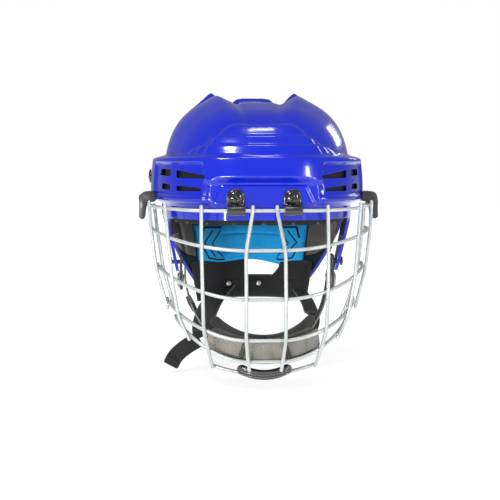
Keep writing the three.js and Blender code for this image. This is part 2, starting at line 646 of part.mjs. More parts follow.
addPart("wire_top", toGeometry(barWire(TOP_BAR, 24)), TINT.wire, 0.35, 0.2);
addPart("wire_eye", toGeometry(barWire(EYE_BAR, 20)), TINT.wire, 0.35, 0.2);
addPart("wire_nose", toGeometry(barWire(NOSE_BAR, 20)), TINT.wire, 0.35, 0.2);
addPart("wire_mouth", toGeometry(barWire(MOUTH_BAR, 20)), TINT.wire, 0.35, 0.2);
addPart("wire_chin", toGeometry(barWire(CHIN_BAR, 20)), TINT.wire, 0.35, 0.2);
addPart("wire_rim", toGeometry(rimWire()), TINT.wire, 0.35, 0.2);
addPair("wire_centre", centreWire(), TINT.wire, 0.35, 0.2);
addPair("wire_inner", innerWire(), TINT.wire, 0.35, 0.2);
addPair("wire_outer", outerWire(), TINT.wire, 0.35, 0.2);
addPair("wire_side", sideWire(), TINT.wire, 0.35, 0.2);
addPair("wire_edge", edgeWire(), TINT.wire, 0.35, 0.2);

addPart("chin_cup", toGeometry(chinCup()), TINT.black, 0.4, 0);
addPart("chin_pad", toGeometry(chinPad()), TINT.mesh, 0.9, 0);
addPart("chin_lip_pad", toGeometry(chinLipPad()), TINT.mesh, 0.9, 0);
addPart("chin_bumper", toGeometry(chinBumper()), TINT.black, 0.2, 0);
addPair("chin_cup_tab", cupTab(), TINT.black, 0.4, 0);

const strapFrame = webbingFrame(strapPath(), new THREE.Vector3(0, 1, 0));
const strapRun = sweptBlock(strapFrame, 34, STRAP_HALF, STRAP_THICK / 2);
addPart("chin_strap", toGeometry(strapRun), TINT.black, 0.85, 0);
addPart("strap_slider", toGeometry(strapSlider(strapFrame, 0.14)), TINT.black, 0.3, 0);
addPart("strap_tail", toGeometry(strapTail()), TINT.black, 0.85, 0);
addPair("strap_snap", strapSnap(), TINT.steel, 0.3, 0.8);

export default group;
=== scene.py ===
"""Looks of the ice hockey helmet and its cage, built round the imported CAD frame.

Lengths are millimetres until a mesh is made. The axes are the CAD's: the face looks along -Y, +X is to the
right of someone who faces the cage, +Z is up."""
import math
import bmesh
import bpy
import numpy as np
from mathutils import Matrix, Vector

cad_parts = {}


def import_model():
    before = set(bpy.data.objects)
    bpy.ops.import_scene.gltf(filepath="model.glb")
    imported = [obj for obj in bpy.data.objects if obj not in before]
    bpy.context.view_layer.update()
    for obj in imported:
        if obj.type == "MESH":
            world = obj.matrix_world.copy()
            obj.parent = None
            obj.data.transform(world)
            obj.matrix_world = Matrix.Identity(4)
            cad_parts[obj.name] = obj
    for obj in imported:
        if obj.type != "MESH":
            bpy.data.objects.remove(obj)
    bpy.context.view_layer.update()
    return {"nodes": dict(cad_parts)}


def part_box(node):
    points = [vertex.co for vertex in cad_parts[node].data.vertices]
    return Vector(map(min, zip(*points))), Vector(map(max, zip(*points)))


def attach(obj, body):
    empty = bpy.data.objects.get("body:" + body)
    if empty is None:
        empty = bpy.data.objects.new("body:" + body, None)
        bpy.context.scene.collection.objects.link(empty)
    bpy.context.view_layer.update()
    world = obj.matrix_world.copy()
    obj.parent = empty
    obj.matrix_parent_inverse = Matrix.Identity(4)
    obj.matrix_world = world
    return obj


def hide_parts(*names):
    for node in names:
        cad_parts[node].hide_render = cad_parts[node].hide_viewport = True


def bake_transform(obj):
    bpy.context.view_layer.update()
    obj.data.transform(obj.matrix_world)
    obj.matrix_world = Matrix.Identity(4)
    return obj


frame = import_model()

# ---- shell form, as in the CAD ----
HALF_WIDTH, FRONT, BACK, HEIGHT = 92.0, 116.0, 126.0, 113.0
PLAN_POWER, SIDE_POWER, FRONT_POWER = 2.4, 3.4, 2.9
TAPER = 0.0024
WALL = 3.0
TONGUE_GAP = 3.6
REAR_STEP, REAR_RISE = 4.0, 4.5
REAR_CROWDING = 0.36
PLATEAU_Y = 111.5
ARM_TIP = -55.0
NAPE = -88.0

# ---- cage, as in the CAD ----
WIRE_R = 1.6
WIRE_GAP = 0.35
HINGE_Y, HINGE_Z = -120.0, 9.0
BAR_POWER = 2.3
BARS = {
    "top": dict(half=104, flat=39, front=HINGE_Y, back=-32, z=HINGE_Z, rise=3),
    "eye": dict(half=101, flat=12, front=-130, back=-46, z=-25, rise=15),
    "nose": dict(half=96, flat=12, front=-136, back=-50, z=-67, rise=24),
    "mouth": dict(half=87, flat=12, front=-134, back=-56, z=-103, rise=28),
    "chin": dict(half=79, flat=12, front=-127, back=-68, z=-123, rise=33),
}
UPRIGHTS = {
    "centre": [("top", 10.5), ("eye", 17), ("nose", 17), ("mouth", 17), ("chin", 15)],
    "inner": [("top", 54.5), ("eye", 54), ("nose", 53), ("mouth", 52), ("chin", 48)],
    "outer": [("top", 84.5), ("eye", 82), ("nose", 78.5), ("mouth", 73), ("chin", 65)],
    "side": [("top", 99), ("eye", 97), ("nose", 92.8), ("mouth", 83.5)],
}
CLIP_X, CLIP_SCREW_Z = 25.0, 20.0
SIDE_CLIP_Y, SIDE_SCREW_Z = -42.0, 19.0
CUP_HALF, CUP_BOW, CUP_FRONT = 51.0, 24.0, -124.0
LOOP_Y, LOOP_Z = -11.0, -64.0

# ---- directions and stage ----
ACROSS, ALONG, UP = (1, 0, 0), (0, 1, 0), (0, 0, 1)
FLOOR_Z, FLOOR_SIZE = -151, 4000
SKY_LIGHT = 0.32
MM = 0.001


# ---- small helpers ----
def smooth(a, b, v):
    """0 at a, 1 at b, eased between."""
    s = np.clip((v - a) / (b - a), 0, 1)
    return s * s * (3 - 2 * s)


def mix(a, b, t):
    return a + (b - a) * t


def unit(v):
    v = np.asarray(v, float)
    return v / np.linalg.norm(v)


def new_object(name, verts, faces, material, smooth_angle=40):
    """A mesh object from vertices in mm."""
    mesh = bpy.data.meshes.new(name)
    metres = np.asarray(verts, float) * MM
    mesh.from_pydata(metres.tolist(), [], [list(map(int, f)) for f in faces])
    mesh.update()
    obj = bpy.data.objects.new(name, mesh)
    bpy.context.scene.collection.objects.link(obj)
    if material:
        obj.data.materials.append(material)
    shade(obj, smooth_angle)
    return obj


def shade(obj, angle=40):
    """Outward normals, smooth shading, and sharp edges where faces meet at more than the angle."""
    bm = bmesh.new()
    bm.from_mesh(obj.data)
    bmesh.ops.recalc_face_normals(bm, faces=bm.faces)
    limit = math.radians(angle)
    for face in bm.faces:
        face.smooth = True
    for edge in bm.edges:
        edge.smooth = len(edge.link_faces) == 2 and edge.calc_face_angle(0) < limit
    bm.to_mesh(obj.data)
    bm.free()


def apply_modifiers(obj):
    """The modifiers' result as the object's own mesh."""
    deps = bpy.context.evaluated_depsgraph_get()
    mesh = bpy.data.meshes.new_from_object(obj.evaluated_get(deps))
    obj.modifiers.clear()
    obj.data = mesh


def bevel(obj, width, segments):
    m = obj.modifiers.new("edge", "BEVEL")
    m.width = width * MM
    m.segments = segments
    m.limit_method = "ANGLE"
    m.angle_limit = math.radians(35)
    apply_modifiers(obj)
    shade(obj, 50)


def boolean(obj, other, operation):
    """Cut obj with the other, or keep what they share. The other is used up."""
    m = obj.modifiers.new("cut", "BOOLEAN")
    m.object = other
    m.operation = operation
    m.solver = "MANIFOLD"
    apply_modifiers(obj)
    bpy.data.objects.remove(other, do_unlink=True)


def join(name, objects):
    """One mesh object from several, in the first one's material slots."""
    bm = bmesh.new()
    materials = []
    for obj in objects:
        slots = []
        for m in obj.data.materials:
            if m not in materials:
                materials.append(m)
            slots.append(materials.index(m))
        start = len(bm.faces)
        bm.from_mesh(obj.data)
        bm.faces.ensure_lookup_table()
        for face in bm.faces[start:]:
            face.material_index = slots[face.material_index] if slots else 0
        bpy.data.objects.remove(obj, do_unlink=True)
    mesh = bpy.data.meshes.new(name)
    bm.to_mesh(mesh)
    bm.free()
    for m in materials:
        mesh.materials.append(m)
    obj = bpy.data.objects.new(name, mesh)
    bpy.context.scene.collection.objects.link(obj)
    return obj


def mirrored(obj, name):
    """A copy on the other side of the helmet."""
    copy = obj.copy()
    copy.data = obj.data.copy()
    copy.name = name
    bpy.context.scene.collection.objects.link(copy)
    copy.data.transform(Matrix.Diagonal((-1, 1, 1, 1)))
    copy.data.flip_normals()
    return copy


def finish_piece(obj, body, nodes):
    """What the frame has to know about a piece."""
    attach(obj, body)
    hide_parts(*nodes)


def single(node_name, parts, body):
    """One piece made of the parts, standing for one CAD node."""
    finish_piece(join("look_" + node_name, parts), body, [node_name])


def pair(obj, base, body):
    """The right piece and its mirror image, each standing for its own CAD node."""
    obj.name = "look_" + base + "_r"
    left = mirrored(obj, "look_" + base + "_l")
    finish_piece(obj, body, [base + "_r"])
    finish_piece(left, body, [base + "_l"])
    return obj, left


# ---- swept forms ----
def frames_along(points, hint):
    """Tangent, side and up at each point; side stays as near to hint as it can."""
    points = np.asarray(points, float)
    tangent = np.gradient(points, axis=0)
    tangent /= np.linalg.norm(tangent, axis=1)[:, None]
    hint = np.broadcast_to(np.asarray(hint, float), points.shape)
    side = hint - (hint * tangent).sum(1)[:, None] * tangent
    side /= np.linalg.norm(side, axis=1)[:, None]
    return tangent, side, np.cross(tangent, side)


def between(t, low, high, a, b):
    """a at t = low, b at t = high, linear."""
    return ((high - t) * a + (t - low) * b) / (high - low)


def spline(points, count):
    """A centripetal curve through the points, resampled evenly."""
    p = np.asarray(points, float)
    p = np.vstack([2 * p[0] - p[1], p, 2 * p[-1] - p[-2]])
    out = []
    for i in range(1, len(p) - 2):
        four = p[i - 1:i + 3]
        knots = np.concatenate([[0], np.cumsum(np.linalg.norm(np.diff(four, axis=0), axis=1) ** 0.5)])
        for t in np.linspace(knots[1], knots[2], 24, endpoint=False):
            first = [between(t, knots[j], knots[j + 1], four[j], four[j + 1]) for j in range(3)]
            second = [between(t, knots[j], knots[j + 2], first[j], first[j + 1]) for j in range(2)]
            out.append(between(t, knots[1], knots[2], *second))
    out.append(p[-2])
    out = np.array(out)
    length = np.concatenate([[0], np.cumsum(np.linalg.norm(np.diff(out, axis=0), axis=1))])
    at = np.linspace(0, length[-1], count)
    return np.stack([np.interp(at, length, out[:, k]) for k in range(3)], 1)


def sweep(name, points, section, material, hint=(0, 0, 1), scale=None, closed=False, angle=60):
    """A section of (side, up) pairs carried along the points. scale gives (side, up) factors per point."""
    points = np.asarray(points, float)
    tangent, side, up = frames_along(points, hint)
    section = np.asarray(section, float)
    n, m = len(points), len(section)
    scale = np.ones((n, 2)) if scale is None else np.asarray(scale, float)
    verts = (points[:, None, :] + side[:, None, :] * (section[None, :, 0] * scale[:, :1])[:, :, None]
             + up[:, None, :] * (section[None, :, 1] * scale[:, 1:])[:, :, None]).reshape(-1, 3)
    faces = []
    for i in range(n if closed else n - 1):
        for j in range(m):
            k, q = (i + 1) % n, (j + 1) % m
            faces.append((i * m + j, k * m + j, k * m + q, i * m + q))
    if not closed:
        faces.append(tuple(range(m)))
        faces.append(tuple(range((n - 1) * m, n * m))[::-1])
    return new_object(name, verts, faces, material, angle)


def circle(radius, sides=16):
    a = np.linspace(0, 2 * np.pi, sides, endpoint=False)
    return np.stack([radius * np.cos(a), radius * np.sin(a)], 1)


def ring(cx, cy, radius, degrees):
    """Points round a circle at the given angles."""
    return [(cx + radius * math.cos(a), cy + radius * math.sin(a)) for a in np.radians(degrees)]


def pillow(half_w, half_t, power_w, power_t, count):
    """A soft-cornered section: low powers are square, 1 is round."""
    out = []
    for a in np.linspace(0, 2 * np.pi, count, endpoint=False):
        c, s = math.cos(a), math.sin(a)
        wide = half_w * math.copysign(abs(c) ** power_w, c)
        out.append((wide, half_t * math.copysign(abs(s) ** power_t, s)))
    return out


def soft_ends(count, reach=4, low=0.55):
    """Scale factors for a sweep that narrows at both ends."""
    width = np.ones((count, 2))
    for i in range(reach):
        width[i] = width[-1 - i] = low + (1 - low) * math.sin((i + 0.3) / reach * math.pi / 2)
    return width


def rounded_box(half_w, half_t, radius, steps=4):
    """A rounded rectangle section of (side, up) pairs."""
    radius = min(radius, half_w, half_t)
    out = []
    for cx, cy, start in ((1, 1, 0), (-1, 1, 90), (-1, -1, 180), (1, -1, 270)):
        for a in np.radians(np.linspace(start, start + 90, steps + 1)):
            out.append((cx * (half_w - radius) + radius * math.cos(a),
                        cy * (half_t - radius) + radius * math.sin(a)))
    return out


def tape(half):
    """The section of a webbing tape, half mm to each side."""
    return rounded_box(half, 0.8, 0.5, 3)


def rounded_corner(before, corner, after, radius, steps):
    """Points of the small bend that takes a corner's place."""
    p, q = (corner + unit(end - corner) * min(radius, 0.45 * np.linalg.norm(end - corner))
            for end in (before, after))
    return [(1 - t) ** 2 * p + 2 * t * (1 - t) * corner + t * t * q for t in np.linspace(0, 1, steps)]


def bent_line(points):
    """Straight runs joined by small bends."""
    points = [np.array(p, float) for p in points]
    out = [points[0]]
    for before, corner, after in zip(points[:-2], points[1:-1], points[2:]):
        out += rounded_corner(before, corner, after, 7.0, 7)
    out.append(points[-1])
    fine = [out[0]]
    for a, b in zip(out[:-1], out[1:]):
        count = max(1, int(np.linalg.norm(b - a) / 6.6))
        fine += [mix(a, b, k / count) for k in range(1, count + 1)]
    return fine


def round_tube(name, points, radius, material, sides=16):
    """A wire with rounded ends."""
    points = np.asarray(points, float)
    head = unit(points[0] - points[1])
    tail = unit(points[-1] - points[-2])
    angles = np.radians([80, 60, 40, 20])
    before = [points[0] + head * radius * math.sin(a) for a in angles]
    after = [points[-1] + tail * radius * math.sin(a) for a in angles[::-1]]
    shrink = [math.cos(a) for a in angles]
    path = np.vstack([before, points, after])
    factor = np.concatenate([shrink, np.ones(len(points)), shrink[::-1]])
    span = path[-1] - path[0]
    hint = (0, 1, 0) if abs(unit(span)[0]) > 0.6 else (1, 0, 0)
    return sweep(name, path, circle(radius, sides), material, hint, np.stack([factor, factor], 1))


def prism(name, outline, low, high, axis, material):
    """A straight prism of a 2-D outline. axis x takes (y, z) pairs, axis y takes (x, z) pairs."""
    n = len(outline)
    if axis == "x":
        verts = [(depth, a, b) for depth in (low, high) for a, b in outline]
    else:
        verts = [(a, depth, b) for depth in (low, high) for a, b in outline]
    faces = [tuple(range(n))[::-1], tuple(range(n, 2 * n))]
    faces += [(i, (i + 1) % n, n + (i + 1) % n, n + i) for i in range(n)]
    return new_object(name, verts, faces, material, 30)


def filleted(corners, radius, steps):
    """A closed outline with each corner rounded."""
    corners = [np.array(c, float) for c in corners]
    out = []
    for before, corner, after in zip(corners[-1:] + corners[:-1], corners, corners[1:] + corners[:1]):
        out += map(tuple, rounded_corner(before, corner, after, radius, steps))
    return out


def lathe(name, profile, centre, axis, material, sides=40, angle=35):
    """A turned form. profile holds (radius, height) pairs, from the axis and back to it."""
    axis = unit(axis)
    ref = np.array((0, 0, 1.0)) if abs(axis[2]) < 0.9 else np.array((1.0, 0, 0))
    u = unit(np.cross(ref, axis))
    v = np.cross(axis, u)
    verts, faces = [], []
    m = len(profile)
    for k in range(sides):
        a = 2 * math.pi * k / sides
        for r, h in profile:
            outwards = u * math.cos(a) + v * math.sin(a)
            verts.append(np.array(centre) + axis * h + outwards * max(r, 1e-4))
    for k in range(sides):
        for j in range(m - 1):
            q = (k + 1) % sides
            faces.append((k * m + j, q * m + j, q * m + j + 1, k * m + j + 1))
    obj = new_object(name, verts, faces, material, angle)
    bm = bmesh.new()
    bm.from_mesh(obj.data)
    bmesh.ops.remove_doubles(bm, verts=bm.verts, dist=2e-6)
    bmesh.ops.dissolve_degenerate(bm, edges=bm.edges, dist=1e-6)
    bmesh.ops.holes_fill(bm, edges=bm.edges, sides=0)
    bm.to_mesh(obj.data)
    bm.free()
    shade(obj, angle)
    return obj


def shank(centre, axis, length):
    """The plain part of a screw, behind its head."""
    profile = [(0, 0), (2.4, 0), (2.4, length), (1.9, length + 1), (0, length + 1)]
    return lathe("shank", profile, centre, axis, SCREW, 20)


def slab(name, near, far, material, angle):
    """A closed pad between two grids of points."""
    rows, columns = near.shape[:2]
    verts = np.concatenate([near.reshape(-1, 3), far.reshape(-1, 3)])
    n = rows * columns
    faces = []
    for i in range(rows - 1):
        for j in range(columns - 1):
            a = i * columns + j
            faces.append((a, a + 1, a + columns + 1, a + columns))
            faces.append((n + a, n + a + columns, n + a + columns + 1, n + a + 1))
    rim = list(range(columns))
    rim += [i * columns + columns - 1 for i in range(1, rows)]
    rim += [(rows - 1) * columns + j for j in range(columns - 2, -1, -1)]
    rim += [i * columns for i in range(rows - 2, 0, -1)]
    faces += [(a, a + n, b + n, b) for a, b in zip(rim, rim[1:] + rim[:1])]
    return new_object(name, verts, faces, material, angle)


# ---- materials ----
def principled(name, **values):
    """A material, its tree and its shader, with values set on the shader's sockets."""
    mat = bpy.data.materials.new(name)
    mat.use_nodes = True
    shader = mat.node_tree.nodes["Principled BSDF"]
    for key, value in values.items():
        socket = key.replace("_", " ").title()
        shader.inputs[socket.replace("Ior", "IOR")].default_value = value
    return mat, mat.node_tree, shader


def node(tree, kind, inputs=None, **props):
    """A shader node. An input is a value, or a socket to link from."""
    n = tree.nodes.new(kind)
    for key, value in props.items():
        setattr(n, key, value)
    for key, value in (inputs or {}).items():
        if isinstance(value, bpy.types.NodeSocket):
            tree.links.new(value, n.inputs[key])
        else:
            n.inputs[key].default_value = value
    return n


def place(tree, scale=(1, 1, 1), rotation=(0, 0, 0)):
    """Object coordinates, stretched and turned."""
    where = node(tree, "ShaderNodeTexCoord").outputs["Object"]
    return node(tree, "ShaderNodeMapping", {0: where, 2: rotation, 3: scale}).outputs[0]


def noise(tree, where, scale, detail=3.0, rough=0.5):
    return node(tree, "ShaderNodeTexNoise", {"Vector": where, "Scale": scale, "Detail": detail,
                                             "Roughness": rough}).outputs["Fac"]


def ramp(tree, value, stops):
    """Colours along a value, from (position, colour) stops."""
    n = node(tree, "ShaderNodeValToRGB", {0: value})
    while len(n.color_ramp.elements) < len(stops):
        n.color_ramp.elements.new(0.5)
    for element, (at, colour) in zip(n.color_ramp.elements, stops):
        element.position = at
        element.color = (*colour, 1)
    return n.outputs[0]


def math_node(tree, operation, a, b=0.0, c=0.0):
    return node(tree, "ShaderNodeMath", {0: a, 1: b, 2: c}, operation=operation).outputs[0]


def spread(tree, value, low, high):
    """value from 0..1 mapped to low..high."""
    return math_node(tree, "MULTIPLY_ADD", value, high - low, low)


def blend_colour(tree, factor, a, b):
    """Colour a where the factor is 0, b where it is 1."""
    n = node(tree, "ShaderNodeMix", data_type="RGBA")
    for index, value in ((0, factor), (6, a), (7, b)):
        if isinstance(value, bpy.types.NodeSocket):
            tree.links.new(value, n.inputs[index])
        else:
            n.inputs[index].default_value = value if index == 0 else (*value[:3], 1)
    return n.outputs[2]


def bump(tree, shader, height, strength, distance, radius=0.0):
    """Bump from a height, on corners softened by radius (mm)."""
    inputs = {"Strength": strength, "Distance": distance * MM, "Height": height}
    if radius:
        corner = node(tree, "ShaderNodeBevel", {"Radius": radius * MM}, samples=4)
        inputs["Normal"] = corner.outputs[0]
    n = node(tree, "ShaderNodeBump", inputs)
    tree.links.new(n.outputs[0], shader.inputs["Normal"])


def edge_highlight_mask(tree, sharp=0.02):
    """1 on outer edges, 0 elsewhere: the mask for a painted highlight along the rims."""
    edge = node(tree, "ShaderNodeNewGeometry").outputs["Pointiness"]
    return ramp(tree, edge, [(0.5 + sharp, (0, 0, 0)), (0.5 + 3 * sharp, (1, 1, 1))])


def srgb(r, g, b):
    """Linear colour of an sRGB one in 0..255."""
    parts = (r / 255, g / 255, b / 255)
    return tuple(c / 12.92 if c <= 0.04045 else ((c + 0.055) / 1.055) ** 2.4 for c in parts)


def plastic(name, colour, deep, rough, coat=0.0, radius=0.5, grain=0.0, coat_rough=0.04, edge=None):
    """Moulded plastic: a faint mottle, handling marks in the gloss, orange peel or grain in the surface, and
    with an edge colour a painted highlight on the outer edges.
    """
    mat, tree, shader = principled(name, coat_weight=coat, coat_roughness=coat_rough, ior=1.5)
    at = place(tree)
    mottle = noise(tree, at, 26, 4)
    base = blend_colour(tree, mottle, deep, colour)
    # Outer edges get the lighter edge colour: a painted highlight along the rims.
    if edge:
        base = blend_colour(tree, edge_highlight_mask(tree), base, edge)
    tree.links.new(base, shader.inputs["Base Color"])
    smear = noise(tree, place(tree, (30, 60, 14), (0.3, 0.2, 0.5)), 1, 5, 0.6)
    scratch = noise(tree, place(tree, (900, 40, 300), (0.4, 0.9, 0.3)), 1, 2, 0.4)
    scratch = ramp(tree, scratch, [(0.68, (0, 0, 0)), (0.76, (1, 1, 1))])
    level = spread(tree, smear, rough - 0.06, rough + 0.08)
    level = math_node(tree, "MULTIPLY_ADD", scratch, 0.07, level)
    tree.links.new(level, shader.inputs["Roughness"])
    fine = noise(tree, at, 1800 if grain else 260, 2)
    bump(tree, shader, fine, 0.35 if grain else 0.06, grain or 0.12, radius)
    return mat


def foam_material(name, colour, deep, cell=900, depth=0.25):
    """Closed-cell foam: small pores painted darker as painted shade in their pits, soft mottling, no gloss.
    """
    mat, tree, shader = principled(name, roughness=0.9, sheen_weight=0.15, sheen_roughness=0.6)
    at = place(tree)
    pores = node(tree, "ShaderNodeTexVoronoi", {"Vector": at, "Scale": cell}).outputs["Distance"]
    cloud = noise(tree, at, 45, 4)
    base = blend_colour(tree, cloud, deep, colour)
    # The pores are painted darker: painted shade in the pits.
    hollow = ramp(tree, pores, [(0.0, (1, 1, 1)), (0.35, (0, 0, 0))])
    base = blend_colour(tree, hollow, base, tuple(c * 0.6 for c in deep))
    tree.links.new(base, shader.inputs["Base Color"])
    height = math_node(tree, "MULTIPLY_ADD", cloud, 3, pores)
    bump(tree, shader, height, 0.6, depth, 1.0)
    return mat


def weave_material(name, colour, deep, thread, sheen=0.4):
    """Woven tape: two crossing sets of threads, thread mm apart."""
    mat, tree, shader = principled(name, roughness=0.82, sheen_weight=sheen, sheen_roughness=0.5)
    per = 1000 / thread
    at = place(tree)
    split = node(tree, "ShaderNodeSeparateXYZ", {0: at})
    diagonal = math_node(tree, "ADD", split.outputs[0], split.outputs[1])
    warp = math_node(tree, "SINE", math_node(tree, "MULTIPLY", diagonal, per * 4.4))
    weft = math_node(tree, "SINE", math_node(tree, "MULTIPLY", split.outputs[2], per * 6.28))
    cloth = math_node(tree, "MULTIPLY_ADD", math_node(tree, "MULTIPLY", warp, weft), 0.5, 0.5)
    fuzz = noise(tree, at, 700, 3)
    lit = math_node(tree, "MULTIPLY", cloth, math_node(tree, "ADD", fuzz, 0.5))
    tree.links.new(blend_colour(tree, lit, deep, colour), shader.inputs["Base Color"])
    height = math_node(tree, "MULTIPLY_ADD", fuzz, 0.4, cloth)
    bump(tree, shader, height, 0.8, thread * 0.3, 0.3)
    return mat


def wire_material():
    """White powder coat on steel: slightly pebbled, greyer where it is rubbed."""
    mat, tree, shader = principled("wire_coat", coat_weight=0.3, coat_roughness=0.15, ior=1.5, metallic=0.35)
    at = place(tree)
    cloud = noise(tree, at, 38, 5, 0.6)
    base = blend_colour(tree, cloud, srgb(176, 181, 179), srgb(206, 211, 208))
    rub = noise(tree, place(tree, (90, 90, 30)), 1, 4, 0.7)
    rub = ramp(tree, rub, [(0.6, (0, 0, 0)), (0.72, (1, 1, 1))])
    base = blend_colour(tree, math_node(tree, "MULTIPLY", rub, 0.5), base, srgb(132, 137, 136))
    tree.links.new(base, shader.inputs["Base Color"])
    tree.links.new(spread(tree, cloud, 0.24, 0.4), shader.inputs["Roughness"])
    bump(tree, shader, noise(tree, at, 900, 2), 0.14, 0.1)
    return mat


def metal_material(name, colour, rough):
    """Bare metal, drawn along one way and unevenly polished."""
    mat, tree, shader = principled(name, metallic=1.0)
    at = place(tree)
    cloud = noise(tree, at, 150, 4)
    base = blend_colour(tree, cloud, tuple(0.6 * c for c in colour), colour)
    tree.links.new(base, shader.inputs["Base Color"])
    tree.links.new(spread(tree, cloud, rough - 0.08, rough + 0.15), shader.inputs["Roughness"])
    bump(tree, shader, noise(tree, place(tree, (200, 200, 3000)), 1, 2), 0.1, 0.05, 0.2)
    return mat


BLUE = plastic("shell_blue", srgb(9, 36, 192), srgb(6, 28, 175), 0.17, 0.4, 0.7)
WIRE = wire_material()
# The lighter edge colours of the black plastics are painted highlights along their rims.
GLOSS = plastic("gloss_black", (0.010, 0.010, 0.011), (0.006, 0.006, 0.007), 0.16, 0.8, 0.4,
                edge=(0.10, 0.10, 0.11))
SCREW = plastic("screw_black", (0.011, 0.011, 0.012), (0.006, 0.006, 0.007), 0.13, 0.9, 0.25,
                coat_rough=0.08)
MATTE = plastic("matte_black", (0.016, 0.016, 0.017), (0.009, 0.009, 0.010), 0.4, 0.15, 0.4, 0.12,
                edge=(0.07, 0.07, 0.072))
# Near-black: painted shade on the rear vents' walls and the backs of the pads, and the printed lines on the
# blue pad.
DARK = plastic("shade_and_print_black", (0.004, 0.004, 0.004), (0.002, 0.002, 0.002), 0.7, 0.0, 0.0, 0.1)
# A pale tone for the ring round the ear loop's eye: a painted highlight.
RIM_HIGHLIGHT_PALE = plastic("painted_rim_highlight", srgb(196, 190, 178), srgb(170, 163, 150), 0.45, 0.1, 0.3)
FOAM = foam_material("foam_grey", srgb(96, 90, 84), srgb(72, 67, 62))
CYAN = foam_material("pad_cyan", srgb(20, 186, 255), srgb(14, 168, 246), 1400, 0.12)
BLACK_PAD = foam_material("pad_black", (0.016, 0.016, 0.017), (0.008, 0.008, 0.009), 1200, 0.15)
MESH_FABRIC = weave_material("mesh_fabric", srgb(172, 168, 158), srgb(88, 86, 80), 1.3)
TRIM = weave_material("trim_grey", srgb(134, 130, 122), srgb(80, 77, 72), 0.7)
DARK_TRIM = weave_material("trim_dark", srgb(74, 74, 74), srgb(34, 34, 35), 0.7)
FUZZ = foam_material("fuzz_black", srgb(44, 44, 45), srgb(24, 24, 25), 700, 0.5)
WEBBING = weave_material("webbing_black", (0.018, 0.018, 0.019), (0.004, 0.004, 0.005), 1.1, 0.1)
PIPING = weave_material("piping_grey", srgb(168, 166, 160), srgb(110, 108, 102), 0.8)
STEEL = metal_material("steel", (0.62, 0.62, 0.63), 0.3)


# ---- shells ----
def super_radius(u, a, b, p):
    """Radius of a superellipse at angle u."""
    return ((np.abs(np.cos(u)) / a) ** p + (np.abs(np.sin(u)) / b) ** p) ** (-1 / p)


def band_out(u, z):
    """The thicker band round the helmet's foot, widest at the sides."""
    up = smooth(11, 18, z)
    down = 1 - smooth(54.5, 59.5, z)
    front = np.where(np.sin(u) < 0, 3.0, 0.0)
    return up * down * mix(front, 12.0, np.abs(np.cos(u)) ** 1.2)


def ridge_line(y):
    """How far to the side of the middle the crown's ridges run."""
    return mix(29.0, 43.5, np.minimum(1, (y + 100) / 130)) - 6 * smooth(32, 52, y)


def ridge_out(x, y):
    """Two moulded ridges over the crown, steep inside and broad outside, with a dished floor between."""
    side = np.abs(x) - ridge_line(y)
    fade = smooth(-108, 15, y) * (1 - smooth(40, 105, y))
    taller = 1 + 0.9 * smooth(32, 50, y)
    inner = np.exp(-np.abs(side / 6.0) ** 1.7)
    outer = np.exp(-np.abs(side / 13.0) ** 1.3)
    groove = 3.4 * np.exp(-((side + 13) / 6.5) ** 2)
    return fade * (6.0 * taller * np.where(side < 0, inner, outer) - groove)


def rear_edge(z):
    """Where the front shell ends, at height z."""
    return 12 + 20 * smooth(0, HEIGHT, z)


# level, depth, softness and half the straight run of each shelf
FRONT_SHELVES = ((66.5, 1.5, 1.6, 54), (75.5, 1.5, 1.6, 38), (87.0, 2.0, 1.8, 22))


def front_steps(x, y, z):
    """The low steps across the front below the dish, a shelf each, that wrap towards the temples."""
    ahead = smooth(-20, -62, y)
    rise = 0.0
    for level, depth, soft, flat in FRONT_SHELVES:
        past = np.maximum(0, np.abs(x) - flat)
        over = (z - level + 0.03 * past ** 2) / np.sqrt(1 + (0.06 * past) ** 2)
        rise = rise - depth * smooth(-soft, soft, over)
    return (rise + 1.4) * ahead * smooth(56, 59.5, z)


def dish(x, y, z):
    """The long hollow between the ridges that narrows towards the brow."""
    half = ridge_line(y) - 12
    inside = 1 - smooth(half - 5, half + 3, np.abs(x))
    return -2.2 * inside * smooth(84, 90, z) * smooth(20, 5, y)


def crown_hollow(x, y, z, depth):
    """The crown sinks between the ridges towards the front shell's rear edge."""
    half = ridge_line(y) - 8
    inside = 1 - smooth(half - 9, half + 3, np.abs(x))
    return -depth * inside * smooth(84, 100, z) * smooth(-45, 5, y)


def ear_groove(x, y, z):
    """The rear shell's roof falls away beside each ear, so that the ears stand clear of it."""
    side = np.abs(x) - ridge_line(y) + 10.5
    near_edge = smooth(36, 46, y) * (1 - smooth(62, 100, y)) * smooth(60, 85, z)
    return -6.0 * np.exp(-(side / 6.5) ** 2) * near_edge


def side_panel(x, y, z):
    """The sunken panel in the band that carries the vents, with a slanted front edge."""
    slant = np.abs(x) - (50.5 + 0.14 * (z - 22))
    into = smooth(-1.6, 1.6, slant) * smooth(-40, -47, y)
    tall = smooth(20.0, 22.5, z) * (1 - smooth(49.5, 52, z))
    return -2.6 * into * tall


def brow_plate(x, z):
    """1 on the raised plate that carries the front clips, 0 round it."""
    half = 37.0 + 0.5 * (31 - z)
    return (1 - smooth(half - 1.0, half + 1.0, np.abs(x))) * (1 - smooth(30.0, 31.6, z))


